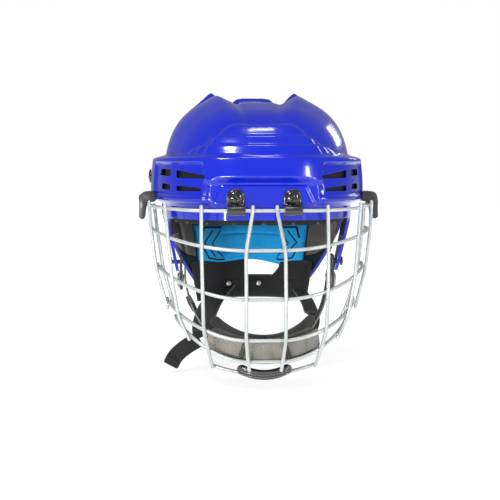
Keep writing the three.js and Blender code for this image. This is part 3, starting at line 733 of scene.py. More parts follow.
def skin(u, z, by=0.0, rear=False, features=True):
    """Points of the shell's outer face at angle u and height z, moved out by by."""
    power = mix(FRONT_POWER, SIDE_POWER, np.cos(u) ** 2)
    depth = np.where(np.sin(u) < 0, FRONT, BACK)
    plan = super_radius(u, HALF_WIDTH, depth, PLAN_POWER)
    rise = np.maximum(0, 1 - (np.maximum(z, 0) / HEIGHT) ** power) ** (1 / power)
    r = plan * rise * (1 + TAPER * np.minimum(z, 0)) + band_out(u, z)
    x, y = r * np.cos(u), r * np.sin(u)
    upwards = 1.6 * np.maximum(z, 0) ** 3 / HEIGHT ** 4
    normal = np.stack([x / HALF_WIDTH ** 2, y / depth ** 2, upwards], -1)
    normal /= np.linalg.norm(normal, axis=-1)[..., None]
    out = by + ridge_out(x, y) * smooth(20, 80, z)
    if rear:
        edge = rear_edge(z)
        step = REAR_STEP + REAR_RISE * smooth(50, 100, z)
        tongue = -WALL - TONGUE_GAP
        out = out + mix(tongue, step, smooth(edge + 12.5, edge + 20, y)) + ear_groove(x, y, z)
    elif features:
        out = out + front_steps(x, y, z) + dish(x, y, z) + side_panel(x, y, z)
        out = out + crown_hollow(x, y, z, 3.4 if by else 4.0)
    point = np.stack([x, y, z * np.ones_like(x)], -1) + normal * out[..., None]
    flat = 1 - smooth(33, 39, point[..., 2])
    limit = -PLATEAU_Y - by
    point[..., 1] = mix(point[..., 1], np.maximum(point[..., 1], limit), flat)
    if features and not rear:
        brow = (1 - smooth(31, 36, z)) * (y < -80) * smooth(57, 50, np.abs(x))
        point[..., 1] += 1.5 * brow * (1 - brow_plate(point[..., 0], point[..., 2]))
    return point


def dome(name, by, rear, floor, columns, rows, features, material):
    """A closed dome on the skin from the crown down to a level.

    The rear one has its columns crowded to the sides, where its step runs across them."""
    u = np.linspace(0, 2 * np.pi, columns, endpoint=False)
    if rear:
        u = u - REAR_CROWDING * np.sin(2 * u)
    s = np.linspace(0.0, 0.66, int(rows * 0.34)) ** 0.9
    top = HEIGHT * (1 - s ** 3.1) ** (1 / 3.1)
    levels = np.concatenate([top, np.linspace(top[-1], 0, int(rows * 0.56))[1:],
                             np.linspace(0, floor, int(rows * 0.1) + 2)[1:]])
    levels[0] = HEIGHT - 1e-4
    grid = skin(u[None, :], levels[:, None] * np.ones((1, columns)), by, rear, features)
    verts = grid.reshape(-1, 3)
    n = len(levels)
    faces = []
    for i in range(n - 1):
        a, b = i * columns, (i + 1) * columns
        faces += [(a + j, b + j, b + (j + 1) % columns, a + (j + 1) % columns) for j in range(columns)]
    faces.append(tuple(range(columns))[::-1])
    faces.append(tuple((n - 1) * columns + j for j in range(columns)))
    return new_object(name, verts, faces, material)


def slot_cutter(corners):
    """A wedge-shaped vent opening seen from the front, with round corners."""
    return prism("slot", filleted(corners, 1.3, 4), -140, -34, "y", BLUE)


# share of the full mesh density
FINE = 1.0
# corners (x, z) of the front vents on the right; low x, high x, low z, high z of the rear ones
VENTS = (
    ((51.5, 36.8), (77, 37.2), (77, 44.4), (52.5, 39.6)),
    ((55, 25.8), (77, 25.4), (77, 30.4), (56, 28.6)),
    ((82.5, 38.8), (92.5, 39.4), (91.5, 45.6), (82.5, 44.8)),
    ((83, 26.4), (91.5, 27), (90.5, 32.2), (83, 31.2)),
)
REAR_VENTS = ((22, 46, 34, 42), (26, 50, 8, 16))


def front_shell():
    """The front half, with ear arms and vents."""
    shell = dome("look_front_shell", 0, False, -65, int(480 * FINE), int(230 * FINE), True, BLUE)
    inner = dome("inner", -WALL, False, -77, int(240 * FINE), int(130 * FINE), True, BLUE)
    boolean(shell, inner, "DIFFERENCE")
    arm = [(-62, 0), (-44, -3), (-34, -14), (-24, ARM_TIP + 6), (-18, ARM_TIP), (-4, ARM_TIP),
           (2, ARM_TIP + 6), (8, -14)]
    edge = [(rear_edge(z), z) for z in (0, 30, 60, 90, 118)]
    outline = filleted([(-150, 140), (-150, 0), *arm, *edge, (34, 140)], 5, 6)
    boolean(shell, prism("side", outline, -140, 140, "x", BLUE), "INTERSECT")
    cutters = [slot_cutter([(side * x, z) for x, z in corners]) for corners in VENTS for side in (1, -1)]
    boolean(shell, join("slots", cutters), "DIFFERENCE")
    shade(shell, 38)
    finish_piece(shell, "helmet", ["front_shell"])


def rear_shell():
    """The rear half, whose front edge is a tongue inside the front half. Its inside is painted matte black, a
    painted shade over the blue.
    """
    shell = dome("look_rear_shell", 0, True, NAPE - 6, int(520 * FINE), int(190 * FINE), False, BLUE)
    # The inside faces are matte black instead of blue: painted shade inside the helmet.
    shell.data.materials.append(MATTE)
    inner = dome("inner", -WALL, True, NAPE - 18, int(200 * FINE), int(110 * FINE), False, BLUE)
    inner.data.materials.append(MATTE)
    for face in inner.data.polygons:
        face.material_index = 1
    boolean(shell, inner, "DIFFERENCE")
    arch = [(-24, 14), (20, 14), (28, 0), (38, -18), (54, -40), (68, -62), (84, NAPE)]
    outline = filleted([(-24, 140), *arch, (150, NAPE), (150, 140)], 6, 6)
    boolean(shell, prism("side", outline, -140, 140, "x", BLUE), "INTERSECT")
    for side in (1, -1):
        for x0, x1, z0, z1 in REAR_VENTS:
            a, b = sorted((side * x0, side * x1))
            outline = filleted([(a, z0), (b, z0), (b, z1), (a, z1)], 3, 5)
            # The vents' walls take the near-black cutter's colour: painted shade inside the openings.
            boolean(shell, prism("vent", outline, 90, 150, "y", DARK), "DIFFERENCE")
    outline = filleted([(-32, -72), (32, -72), (32, -54), (-32, -54)], 6, 6)
    boolean(shell, prism("window", outline, 60, 160, "y", BLUE), "DIFFERENCE")
    shade(shell, 38)
    finish_piece(shell, "rear", ["rear_shell"])


front_shell()
rear_shell()


# ---- foam and pads inside ----
def skin_pad(name, start, stop, bottom, top, outer, inner, rear, material, columns, rows, channels,
             low_edge=None):
    """A crowned pad against the skin, between two angles, two heights and two offsets.

    channels are pressed-in lines from (s, t) to (s, t), with s along and t up, both -1..1."""
    s = np.linspace(-1, 1, columns)[None, :] * np.ones((rows, 1))
    t = np.linspace(-1, 1, rows)[:, None] * np.ones((1, columns))
    u = np.radians(mix(start, stop, (s + 1) / 2))
    base = bottom + (low_edge(s) if low_edge else 0)
    z = mix(base, top - 0.03 * (top - bottom) * np.abs(s) ** 6, (t + 1) / 2)
    crown = np.clip((1 - np.abs(s) ** 9) * (1 - np.abs(t) ** 6), 0, 1) ** 0.5
    belly = 1 - 0.12 * (s ** 2 + t ** 2)
    dent = np.zeros_like(s)
    for (sa, ta), (sb, tb) in channels:
        span = np.array([sb - sa, tb - ta])
        along = np.clip(((s - sa) * span[0] + (t - ta) * span[1]) / (span @ span), 0, 1)
        far = np.hypot((s - sa - along * span[0]) * 1.6, t - ta - along * span[1])
        dent = dent + np.exp(-(far / 0.045) ** 2)
    depth = mix(outer - 2.4, inner, np.clip(crown * belly - 0.28 * np.clip(dent, 0, 1), 0, 1))
    head = skin(u, z, 0, rear, False)
    out = skin(u, z, 1, rear, False) - head
    out /= np.linalg.norm(out, axis=-1)[..., None]
    near = head + out * depth[..., None]
    far = head + out * np.full_like(depth, outer)[..., None]
    obj = slab(name, near, far, material, 70)
    n = rows * columns
    # The back of each pad, against the shell, is painted near-black as painted shade.
    obj.data.materials.append(DARK)
    for face in obj.data.polygons:
        if all(v >= n for v in face.vertices):
            face.material_index = 1
    return obj, near


def arch_line(s):
    """The rear foam's lower edge follows the rear shell's."""
    return np.interp(s, [-1, -0.6, 0.0, 0.6, 1], [31, 24, 12, 3, 0])


def brow_beads(s):
    """Small dips along the brow foam's lower edge."""
    return 2.2 * np.clip(np.cos(s * 26) - 0.86, 0, 1) / 0.14


def scallop(s):
    """The wavy lower edge of the blue pad."""
    return 1.6 * np.cos(s * 6.3) - 2.2 * np.exp(-((np.abs(s) - 0.62) / 0.2) ** 2)


brow, _ = skin_pad("look_brow_foam", -148, -32, -4.5, 50, -5.9, -12.4, False, FOAM, 150, 24,
                   [((s, -1), (s, 1)) for s in (-0.62, -0.24, 0.24, 0.62)], brow_beads)
finish_piece(brow, "helmet", ["brow_foam"])

temple, _ = skin_pad("temple", -29, 2.5, -35, 55, -11.3, -15.6, False, FOAM, 30, 64,
                     [((-1, 0.25), (1, 0.25)), ((-1, -0.35), (1, -0.35))])
pair(temple, "temple_foam", "helmet")
back_foam, _ = skin_pad("rear_foam", 14.5, 53.5, -49, 57, -3.4, -11.8, True, FOAM, 48, 60,
                        [((0, -1), (0, 1)), ((-1, 0.1), (1, 0.1))], arch_line)
pair(back_foam, "rear_foam", "rear")
cyan, cyan_face = skin_pad("look_occipital_pad", 56.5, 123.5, -57, -15, -3.4, -12.2, True, CYAN, 110, 48,
                           [((-0.62, -0.4), (0.62, -0.4)), ((-0.5, 0.45), (0.5, 0.45))], scallop)


def on_face(face, s, t, lift=0.5):
    """A point on the head side of a pad, lifted towards the head."""
    rows, columns = face.shape[:2]
    a = (t + 1) / 2 * (rows - 1)
    b = (s + 1) / 2 * (columns - 1)
    i, j = min(int(a), rows - 2), min(int(b), columns - 2)
    fa, fb = a - i, b - j
    p = (face[i, j] * (1 - fa) * (1 - fb) + face[i + 1, j] * fa * (1 - fb)
         + face[i, j + 1] * (1 - fa) * fb + face[i + 1, j + 1] * fa * fb)
    inwards = unit(np.cross(face[i, j + 1] - face[i, j], face[i + 1, j] - face[i, j]))
    if inwards @ (np.array([0, 0, p[2]]) - p) < 0:
        inwards = -inwards
    return p + inwards * lift


def stroke(face, corners, radius):
    """A raised printed line over a pad."""
    points = []
    for (s0, t0), (s1, t1) in zip(corners[:-1], corners[1:]):
        points += [on_face(face, mix(s0, s1, k), mix(t0, t1, k), 0.2) for k in np.linspace(0, 1, 14)[:-1]]
    points.append(on_face(face, *corners[-1], 0.2))
    return round_tube("stroke", points, radius, DARK, 8)


marks = []
for side in (-1, 1):
    for inset, width in ((0.90, 0.7), (0.74, 0.55)):
        corners = [(side * (inset - 0.2), 0.62), (side * inset, 0.0), (side * (inset - 0.2), -0.62)]
        marks.append(stroke(cyan_face, corners, width))
    for corners, width in (([(0.52, 0.78), (0.86, 0.80), (0.93, 0.3)], 1.1),
                           ([(0.52, -0.74), (0.84, -0.78), (0.93, -0.3)], 0.8)):
        marks.append(stroke(cyan_face, [(side * s, t) for s, t in corners], width))
cyan = join("look_occipital_pad", [cyan] + marks)
finish_piece(cyan, "rear", ["occipital_pad"])

nape, nape_face = skin_pad("look_nape_pad", 48.0, 132.0, -96, -54, -3.4, -12, True, BLACK_PAD, 100, 36,
                           [((-0.9, 0), (0.9, 0))])
outline = filleted([(-5, -73), (24, -73), (33, -62), (33, -40), (-5, -40)], 4, 6)
boolean(nape, prism("notch", outline, 55, 150, "y", BLACK_PAD), "DIFFERENCE")
shade(nape, 60)
snaps = [lathe("snap", [(0, -1), (3.2, -1), (3.2, 0.6), (2.4, 1.5), (0, 1.9)],
               on_face(nape_face, s, -0.25, 0.2), (0, -1, 0.15), STEEL, 24) for s in (-0.14, 0.38)]
nape = join("look_nape_pad", [nape] + snaps)
finish_piece(nape, "rear", ["nape_pad"])


def crown_cap(name, y0, y1, body, node_name):
    """The foam liner under the crown, in sewn-looking blocks."""
    half = 57
    gx, gy = np.meshgrid(np.linspace(-half, half, 77), np.linspace(y0 + 1, y1 - 1, 41))

    def rise(off):
        gone = (np.abs(gx) / (HALF_WIDTH + off)) ** 3 + (np.abs(gy) / (FRONT + off)) ** 3
        return np.maximum(0, 1 - gone) ** (1 / 3) * (HEIGHT + off)

    top, low = rise(-11.5), rise(-18)
    across, along = gx / half, (gy - (y0 + y1) / 2) / ((y1 - y0) / 2)
    block = np.abs(np.sin(across * np.pi * 1.5)) * np.abs(np.sin((gy - y0) / (y1 - y0) * np.pi * 2))
    edge = np.clip(1 - across ** 10, 0, 1) * np.clip(1 - along ** 10, 0, 1)
    low = mix(top - 1.0, low - 1.6 * np.minimum(1, block * 2.5) + 1.6, edge ** 0.5)
    cap = slab(name, np.stack([gx, gy, top], -1), np.stack([gx, gy, low], -1), FOAM, 60)
    finish_piece(cap, body, [node_name])


crown_cap("look_crown_foam_front", -86, -14, "helmet", "crown_foam_front")
crown_cap("look_crown_foam_rear", -12, 74, "rear", "crown_foam_rear")


# ---- cage ----
def bar_point(bar, x):
    """A point on a cross bar, straight in the middle and bent back at the ends."""
    b = BARS[bar]
    reach = max(0.0, abs(x) - b["flat"]) / (b["half"] - b["flat"])
    drop = max(0.0, 1 - min(1.0, reach) ** BAR_POWER) ** (1 / BAR_POWER)
    return np.array([x, mix(b["back"], b["front"], drop), b["z"] + b["rise"] * reach ** 2])


def bar_outward(bar, x):
    """The level direction out of the cage, square to the bar."""
    d = bar_point(bar, x + 0.5) - bar_point(bar, x - 0.5)
    return unit([d[1], -d[0], 0])


def bar_path(bar, count=60):
    """The bar's middle line, with its points closer together in the bends."""
    b = BARS[bar]
    out = []
    for i in range(-count, count + 1):
        reach = abs(math.sin(i / count * math.pi / 2 * 0.97)) ** (2 / BAR_POWER)
        x = math.copysign(b["flat"] + (b["half"] - b["flat"]) * reach, i) if i else 0.0
        out.append(bar_point(bar, x))
    return out


def weld(at, axis, size):
    """A small uneven bead where two wires are welded."""
    bm = bmesh.new()
    bmesh.ops.create_icosphere(bm, subdivisions=2, radius=1)
    axis = unit(axis)
    verts = []
    for v in bm.verts:
        p = np.array(v.co)
        along = axis * (p @ axis)
        wobble = 1 + 0.12 * math.sin(7 * p[0] + 3 * at[0]) * math.sin(5 * p[2] + at[2])
        verts.append(np.array(at) + (along * 2.5 + (p - along) * 1.5) * size * wobble)
    faces = [[v.index for v in f.verts] for f in bm.faces]
    bm.free()
    return new_object("weld", verts, faces, WIRE, 60)


for bar in BARS:
    wire = round_tube("look_wire_" + bar, bar_path(bar), WIRE_R, WIRE, 18)
    finish_piece(wire, "cage", ["wire_" + bar])

# where the uprights that reach past the chin bar end
FEET = {"centre": (14, -129.4, -130), "inner": (45.8, -111.7, -130.0)}
for name, stations in UPRIGHTS.items():
    shift = 2 * WIRE_R + WIRE_GAP
    points = [bar_point(bar, x) + bar_outward(bar, x) * shift for bar, x in stations]
    top = points[0] + np.array([0, 0.4, 3.6])
    end = points[-1] + unit(points[-1] - points[-2]) * 3.0
    if name in FEET:
        end = np.array(FEET[name])
    curve = bent_line([top, *points, end])
    parts = [round_tube("upright", curve, WIRE_R, WIRE, 18)]
    for bar, x in stations:
        middle = bar_point(bar, x) + bar_outward(bar, x) * shift / 2
        parts.append(weld(middle, ACROSS, 0.8))
    if name == "inner":
        parts.append(weld((44.4, -109.3, -130.2), ACROSS, 0.9))
    pair(join("upright", parts), "wire_" + name, "cage")

edge_points, edge_parts = [], []
for bar in BARS:
    x = BARS[bar]["half"] * 0.985
    on_bar = bar_point(bar, x)
    edge_points.append(on_bar - bar_outward(bar, x) * (2 * WIRE_R + 2 * WIRE_GAP))
    edge_parts.append(weld(mix(edge_points[-1], on_bar, 0.5), ALONG, 0.8))
edge_parts.insert(0, round_tube("edge", bent_line(edge_points), WIRE_R, WIRE, 18))
pair(join("edge", edge_parts), "wire_edge", "cage")

rim_points = [(x, -113 + 6 * (x / 47) ** 2, -137 + 8 * (x / 47) ** 2) for x in np.linspace(-45, 45, 49)]
rim = round_tube("look_wire_rim", rim_points, WIRE_R, WIRE, 18)
finish_piece(rim, "cage", ["wire_rim"])


# ---- clips and screws ----
def cross_head(centre, axis, radius, height, depth, phase):
    """A domed screw head with a cross recess."""
    shape = ((1, 0), (1, 0.16), (0.95, 0.45), (0.8, 0.72), (0.55, 0.9), (0.28, 0.98))
    profile = [(0, 0), *((radius * r, height * h) for r, h in shape), (0, height)]
    head = lathe("head", profile, centre, axis, SCREW, 56, 40)
    axis = unit(axis)
    side = unit(np.cross(axis, (0, 0, 1)))
    up = np.cross(side, axis)
    middle = np.array(centre) + axis * (height - depth * 0.5 + 1.0)
    section = rounded_box(0.62, depth / 2 + 1.0, 0.2, 2)
    for a in np.radians((phase, phase + 90)):
        along = side * math.cos(a) + up * math.sin(a)
        reach = along * radius * 0.62
        line = [middle - reach, middle, middle + reach]
        boolean(head, sweep("bar", line, section, SCREW, np.cross(axis, along)), "DIFFERENCE")
    shade(head, 32)
    return head


def front_clip():
    """The strap looped round the top wire, and the screw that holds it."""
    path = [(-112.9, 27.9), (-112.9, 27.0), (-112.9, 25.5), (-112.9, 23), (-112.9, 20), (-113.0, 17),
            (-114.0, 14.4), (-116.0, 12.4), *ring(HINGE_Y, HINGE_Z, 3.15, np.linspace(52, 322, 22)),
            (-115.4, 8.0), (-113.3, 10.4), (-112.7, 12.4)]
    points = spline([(CLIP_X, y, z) for y, z in path], 120)
    width = []
    for p in points:
        above = np.clip((p[2] - 20.0) / 8.1, 0, 1) if p[1] > -114 else 0.0
        width.append((max(0.12, math.sqrt(1 - above ** 2)), 1.0))
    parts = [sweep("front_clip", points, rounded_box(8, 1.0, 0.7, 4), GLOSS, ACROSS, width, angle=40)]
    for x in (CLIP_X - 6.9, CLIP_X + 6.9):
        line = [(x, -113.9, z) for z in np.linspace(14.8, 21, 6)]
        parts.append(sweep("rib", line, rounded_box(0.5, 0.45, 0.3, 3), GLOSS, ACROSS))
    pair(join("front_clip", parts), "front_clip", "helmet")
    at = (CLIP_X, -114.4, CLIP_SCREW_Z)
    washer = [(0, -0.6), (6.9, -0.6), (6.9, 0.1), (6.3, 0.5), (0, 0.5)]
    parts = [cross_head(at, (0, -1, 0), 6.3, 2.9, 1.7, 20),
             lathe("washer", washer, at, (0, -1, 0), SCREW, 48),
             shank(at, (0, 1, 0), 9)]
    pair(join("front_clip_screw", parts), "front_clip_screw", "helmet")


def side_clip():
    """The hook over the cage's top wire at the temple, ribbed outside, and its screw."""
    corners = [(97, 22.6), (103, 24.6), (110.6, 23.6), (112.9, 16), (112.4, -1.8), (108.0, -1.8),
               (106.9, 9.0), (104.6, 14.2), (97, 14.6)]
    body = prism("side_clip", filleted(corners, 3.4, 7), SIDE_CLIP_Y - 10, SIDE_CLIP_Y + 10, "y", MATTE)
    bevel(body, 1.0, 3)
    parts = [body]
    for y in SIDE_CLIP_Y + np.linspace(-7.6, 7.6, 6):
        line = spline([(112.0, y, 13.4), (112.3, y, 9), (112.6, y, 3), (112.7, y, -0.6)], 12)
        parts.append(sweep("rib", line, rounded_box(0.75, 0.55, 0.4, 3), MATTE, ALONG))
    pair(join("side_clip", parts), "side_clip", "helmet")
    head = cross_head((111.9, SIDE_CLIP_Y, SIDE_SCREW_Z - 1), (1, 0, 0.12), 3.4, 1.8, 1.2, 30)
    pair(head, "side_clip_screw", "helmet")


def size_screw():
    """The screw that clamps the two shells together."""
    _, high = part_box("size_screw_r")
    x = high.x / MM - 2.6
    parts = [cross_head((x, 6, 38), (1, 0, 0), 7, 2.7, 1.6, 45), shank((x + 0.2, 6, 38), (-1, 0, 0), 12)]
    pair(join("size_screw", parts), "size_screw", "helmet")


front_clip()
side_clip()
size_screw()


# ---- ear loops, snaps and the chin strap ----
def ear_loop():
    """The loop at the tip of the ear arm, with a pale ring round its eye on both faces: a painted highlight
    of its rounded rim.
    """
    neck = [(LOOP_Y + 8.6, -54), (-2.2, -48), (-2, -40), (-4, -39), (-18, -39), (-20, -40), (-19.8, -48),
            (LOOP_Y - 8.6, -54)]
    outline = ring(LOOP_Y, LOOP_Z, 10, np.linspace(150, 390, 34)) + neck
    plate = prism("ear_loop", outline, 73.5, 75.9, "x", MATTE)
    hole = lathe("hole", [(0, -9), (5.7, -9), (5.7, 9), (0, 9)], (75, LOOP_Y, LOOP_Z), (1, 0, 0), MATTE, 36)
    boolean(plate, hole, "DIFFERENCE")
    bevel(plate, 0.5, 2)
    parts = [plate]
    # Pale rings round the eye: a painted highlight along the loop's rounded rim.
    for x in (73.3, 76.1):
        line = [(x, y, z) for y, z in ring(LOOP_Y, LOOP_Z, 8.4, np.arange(0, 360, 9))]
        parts.append(sweep("trim", line, circle(0.45, 8), RIM_HIGHLIGHT_PALE, ACROSS, closed=True))
    pair(join("ear_loop", parts), "ear_loop", "helmet")


def strap_snap():
    """The snap that joins the chin strap to the ear loop."""
    profile = [(0, -4.9), (5.3, -4.9), (5.3, 0), (7.4, 0), (7.4, 0.7), (6.6, 1.5), (5.2, 1.7), (4.4, 1.35),
               (2.2, 1.4), (0, 1.5)]
    stud = lathe("snap", profile, (76.7, LOOP_Y, LOOP_Z), (1, 0, 0), STEEL, 44)
    pair(stud, "strap_snap", "strap")


def strap_path():
    """The chin strap's middle line, from the right snap under the chin to the left one."""
    right = [(70.8, LOOP_Y + 5.5, LOOP_Z + 7.5), (70.4, LOOP_Y, LOOP_Z), (67, -18, -79), (59, -30, -97),
             (44, -42, -113), (23, -50, -123)]
    left = [(-x, y, z) for x, y, z in right[::-1]]
    return spline([*right, (0, -53, -126), *left], 220)


def strap_across(points):
    """Width direction of the strap: along Y, kept square to its run."""
    tangent = np.gradient(points, axis=0)
    tangent /= np.linalg.norm(tangent, axis=1)[:, None]
    across = np.array(ALONG) - tangent[:, 1:2] * tangent
    return across / np.linalg.norm(across, axis=1)[:, None]


def chin_strap():
    """Webbing with a piped edge on both sides, a little wavy."""
    points = strap_path()
    wave = 0.35 * np.sin(np.linspace(0, 40, len(points)))
    points = points + np.stack([0 * wave, 0 * wave, wave], 1)
    band = sweep("look_chin_strap", points, tape(7.6), WEBBING, ALONG)
    across = strap_across(points)
    edges = [sweep("piping", points + across * side, circle(0.75, 10), PIPING, ALONG) for side in (7.6, -7.6)]
    single("chin_strap", [band] + edges, "strap")
    return points, across


def strap_slider(points, across):
    """The frame that the webbing doubles back through."""
    k = int(0.86 * (len(points) - 1))
    centre, run, wide = points[k], unit(points[k + 1] - points[k - 1]), across[k]
    normal = np.cross(run, wide)
    section = rounded_box(0.9, 0.75, 0.5, 3)
    parts = []
    for along, lift in ((-3.0, -1.9), (-3.0, 1.9), (0.0, 1.9), (3.0, -1.9), (3.0, 1.9)):
        a = centre + run * along + normal * lift
        parts.append(sweep("bar", [a - wide * 10.5, a, a + wide * 10.5], section, MATTE, run))
    section = rounded_box(0.9, 2.5, 0.7, 3)
    for side in (1, -1):
        a = centre + wide * side * 10.2
        parts.append(sweep("end", [a - run * 3.6, a, a + run * 3.6], section, MATTE, wide))
    single("strap_slider", parts, "strap")


def strap_tail():
    """The loose end of the webbing, folded over at its tip."""
    points = spline([(-57, -38, -118), (-71, -41, -126), (-80, -42, -134), (-85, -42, -143)], 44)
    width = np.ones((44, 2))
    width[-3:, 0] = [0.99, 0.95, 0.85]
    across = (-0.5, 0, 0.85)
    tail = sweep("look_strap_tail", points, tape(7.7), WEBBING, across, width)
    folded = points[-9:-1] + np.array([0, -1.6, 0])
    fold = sweep("fold", folded, rounded_box(7.5, 0.7, 0.5, 3), WEBBING, across)
    single("strap_tail", [tail, fold], "strap")


def neck_straps():
    """The rear legs of the harness, from under the nape pad forward to the chin strap."""
    left = spline([(-34, 98, -90), (-43, 66, -97), (-50, 26, -105), (-53, -10, -112), (-50, -34, -114)], 60)
    right = spline([(52, 80, -86), (57, 50, -94), (58, 14, -103), (54, -14, -109), (48, -36, -112)], 60)
    tapered, plain = np.ones((60, 2)), np.ones((60, 2))
    tapered[:, 0] = np.linspace(2.5, 1.3, 60)
    for name, points, across, width in (("look_neck_strap_l", left, (0.9, 0, 0.43), tapered),
                                        ("look_neck_strap_r", right, (0.12, 0.95, 0.2), plain)):
        parts = [sweep(name, points, tape(7.5), WEBBING, across, width)]
        _, side, _ = frames_along(points, across)
        for k in (1, -1):
            line = points + side * k * 7.5 * width[:, :1]
            parts.append(sweep("piping", line, circle(0.8, 10), DARK_TRIM, across))
        strap = join(name, parts)
        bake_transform(strap)


ear_loop()
strap_snap()
strap_slider(*chin_strap())
strap_tail()


# ---- chin cup ----
def cup_line(half, y, z, rise, count=81):
    """A line round the chin, half mm to each side, that bows back and rises to its ends."""
    x = np.linspace(-half, half, count)
    k = (x / CUP_HALF) ** 2
    return np.stack([x, y + CUP_BOW * k, z + rise * k], 1)


def cup_wall():
    """The stiff wall with its mesh cover, bound edges and ribbed lip."""
    ends = soft_ends(81)
    line = cup_line(50.5, CUP_FRONT + 2.3, -115.5, 8)
    parts = [sweep("look_chin_cup", line, rounded_box(10.3, 1.15, 0.9, 4), MATTE, UP, ends)]
    line = cup_line(49.6, CUP_FRONT + 1.3, -114.2, 8)
    parts.append(sweep("cover", line, rounded_box(7.6, 0.85, 0.8, 4), MESH_FABRIC, UP, ends))
    for z, r in ((-106.4, 1.0), (-121.8, 0.8)):
        parts.append(sweep("seam", cup_line(49.4, CUP_FRONT + 0.9, z, 8), circle(r, 10), TRIM, UP))
    line = cup_line(43, -113.6, -124.9, 6 * (CUP_HALF / 43) ** 2)
    parts.append(sweep("lip", line, rounded_box(9.6, 1.1, 0.9, 4), MATTE, ALONG, ends))
    for x in np.linspace(-38, 38, 20):
        k = (x / CUP_HALF) ** 2
        line = [(x, CUP_FRONT + 0.9 + CUP_BOW * k, z + 8 * k) for z in np.linspace(-125.4, -122.4, 4)]
        parts.append(sweep("rib", line, rounded_box(0.8, 0.6, 0.4, 2), MATTE, ACROSS))
    single("chin_cup", parts, "cage")


def tabs():
    """The two stitched rubber tabs over the cup's mesh."""
    path = [(17.6, -123.4, -106.5), (18.4, -123.6, -110), (19.8, -123.7, -114.5), (21.6, -123.6, -119.5),
            (22.6, -123.3, -123.6)]
    section = rounded_box(2.3, 0.75, 0.6, 3)
    parts = [sweep("chin_cup_tab", spline(path, 24), section, MATTE, (1, 0, 0.2), soft_ends(24, 3, 0.4))]
    for i in range(6):
        x, z = 18.2 + 0.5 * i, -108.6 - 2.3 * i
        parts.append(round_tube("stitch", [(x, -124.5, z), (x + 0.3, -124.5, z - 1.2)], 0.25, TRIM, 6))
    pair(join("chin_cup_tab", parts), "chin_cup_tab", "cage")


def chin_pads():
    """The upper pad with its fuzzy edge that rises at the ends, and the pad inside the lip."""
    count = 81
    along = np.linspace(-1, 1, count)
    width = soft_ends(count, 7, 0.4)
    seams = np.exp(-((along[:, None] - np.array([-0.5, 0, 0.5])) / 0.04) ** 2).sum(1)
    width[:, 1] *= 1 - 0.16 * seams
    line = cup_line(46, CUP_FRONT + 8.2, -112, 12)
    pad = sweep("look_chin_pad", line, pillow(9.8, 4.0, 0.45, 0.7, 36), FOAM, UP, width, angle=70)
    rising = soft_ends(count)
    rising[:, 0] *= 1 + 3.2 * along ** 4
    line = cup_line(46, CUP_FRONT + 8.2, -102.6, 16)
    edge = sweep("binding", line, rounded_box(1.3, 3.4, 1.0, 4), FUZZ, UP, rising)
    single("chin_pad", [pad, edge], "cage")
    line = cup_line(34, -102.2, -118.4, 6 * (CUP_HALF / 35) ** 2)
    section = pillow(5.3, 3.0, 0.6, 0.7, 28)
    pad = sweep("look_chin_lip_pad", line, section, FOAM, ALONG, soft_ends(count, 6, 0.4), angle=70)
    finish_piece(pad, "cage", ["chin_lip_pad"])


def bumper():
    """The glossy bumper round the lowest wire, with three raised lines."""
    low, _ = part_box("chin_bumper")
    y, z = low.y / MM + 3.4, -135.6
    line = cup_line(23.6, y, z, 6 * (CUP_HALF / 24) ** 2, 61)
    section = rounded_box(4.3, 2.6, 1.5, 5)
    parts = [sweep("look_chin_bumper", line, section, GLOSS, (0, -0.25, 1), soft_ends(61, 4, 0.4), angle=50)]
    for dz in (-2.4, 0, 2.4):
        line = cup_line(21.5, y - 2.5 - 0.25 * dz, z + dz, 20, 41)
        parts.append(sweep("rib", line, circle(0.55, 8), GLOSS, UP, soft_ends(41)))
    single("chin_bumper", parts, "cage")


cup_wall()
tabs()
chin_pads()
bumper()
neck_straps()

for base, material in (("front_clip_nut", STEEL), ("side_clip_nut", STEEL), ("size_nut", STEEL),
                       ("ear_loop_rivet", SCREW)):
    for side in ("_r", "_l"):
        slots = frame["nodes"][base + side].data.materials
        slots.clear()
        slots.append(material)


# ---- floor, lights and camera ----
def floor():
    """A plain pale floor that glows as painted light, dimmer near the helmet and white away from it."""
    mat, tree, shader = principled("floor", roughness=0.9, specular_ior_level=0.1,
                                   emission_color=(1, 1, 1, 1))
    at = place(tree)
    base = blend_colour(tree, noise(tree, at, 3, 2), (0.34, 0.34, 0.345), (0.37, 0.37, 0.37))
    tree.links.new(base, shader.inputs["Base Color"])
    # The floor's glow is painted light: weaker near the helmet, full white further out.
    away = node(tree, "ShaderNodeVectorMath", {0: at}, operation="LENGTH").outputs["Value"]
    glow = ramp(tree, away, [(0.18, (0.84, 0.84, 0.84)), (0.62, (1, 1, 1))])
    tree.links.new(glow, shader.inputs["Emission Strength"])
    corners = [(x * FLOOR_SIZE, y * FLOOR_SIZE, FLOOR_Z) for x, y in ((-1, -1), (1, -1), (1, 1), (-1, 1))]
    new_object("floor", corners, [(0, 1, 2, 3)], mat)


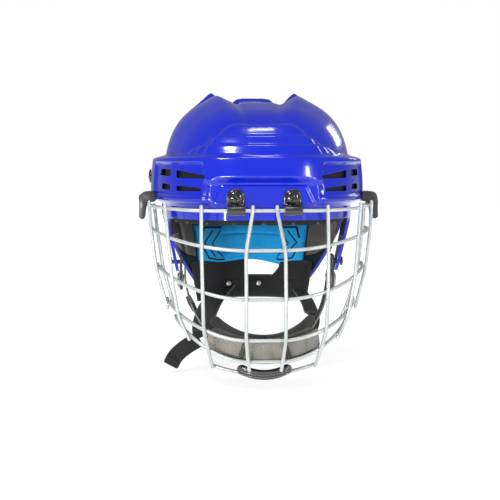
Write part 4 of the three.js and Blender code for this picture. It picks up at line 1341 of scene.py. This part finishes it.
def area_light(name, place_at, aim, size, energy):
    """A soft light that faces its aim."""
    data = bpy.data.lights.new(name, "AREA")
    data.shape = "RECTANGLE"
    data.size, data.size_y = size
    data.energy = energy
    light = bpy.data.objects.new(name, data)
    light.location = place_at
    light.rotation_euler = (Vector(aim) - Vector(place_at)).to_track_quat("-Z", "Y").to_euler()
    bpy.context.scene.collection.objects.link(light)


def world():
    """White where the camera sees it, dim as a light."""
    sky = bpy.data.worlds.new("world")
    sky.use_nodes = True
    tree = sky.node_tree
    seen = node(tree, "ShaderNodeLightPath").outputs["Is Camera Ray"]
    background = tree.nodes["Background"]
    background.inputs[0].default_value = (1, 1, 1, 1)
    tree.links.new(spread(tree, seen, SKY_LIGHT, 1.0), background.inputs[1])
    bpy.context.scene.world = sky


def camera():
    """The photo's view: nearly level, a little from the left."""
    azimuth, elevation = math.radians(-3.3), math.radians(5)
    level = math.cos(elevation)
    back = Vector((math.sin(azimuth) * level, -math.cos(azimuth) * level, math.sin(elevation)))
    data = bpy.data.cameras.new("camera")
    data.sensor_width = 36
    data.lens = 68.4
    data.clip_end = 20
    cam = bpy.data.objects.new("camera", data)
    cam.location = Vector((-0.006, 0, -0.0357)) + back * 0.950
    cam.rotation_euler = back.to_track_quat("Z", "Y").to_euler()
    bpy.context.scene.collection.objects.link(cam)
    bpy.context.scene.camera = cam


# name, place, aim, size (metres) and power (watts)
LIGHTS = (
    ("key", (-0.55, -0.9, 0.95), (0, 0, 0.02), (0.3, 0.2), 8),
    ("fill", (0.8, -1.0, 0.25), (0, 0, 0), (0.1, 0.45), 4),
    ("low", (-0.4, -1.0, -0.06), (0, 0, -0.05), (0.25, 0.1), 4.5),
    ("top", (0.05, -0.35, 1.1), (0, 0, 0.1), (0.25, 0.08), 1.4),
    ("back", (0.9, 1.0, 0.5), (0, 0, 0.0), (0.07, 0.35), 1.1),
)
bpy.context.scene.view_settings.view_transform = "Standard"
world()
floor()
for light in LIGHTS:
    area_light(*light)
camera()

bpy.context.view_layer.update()
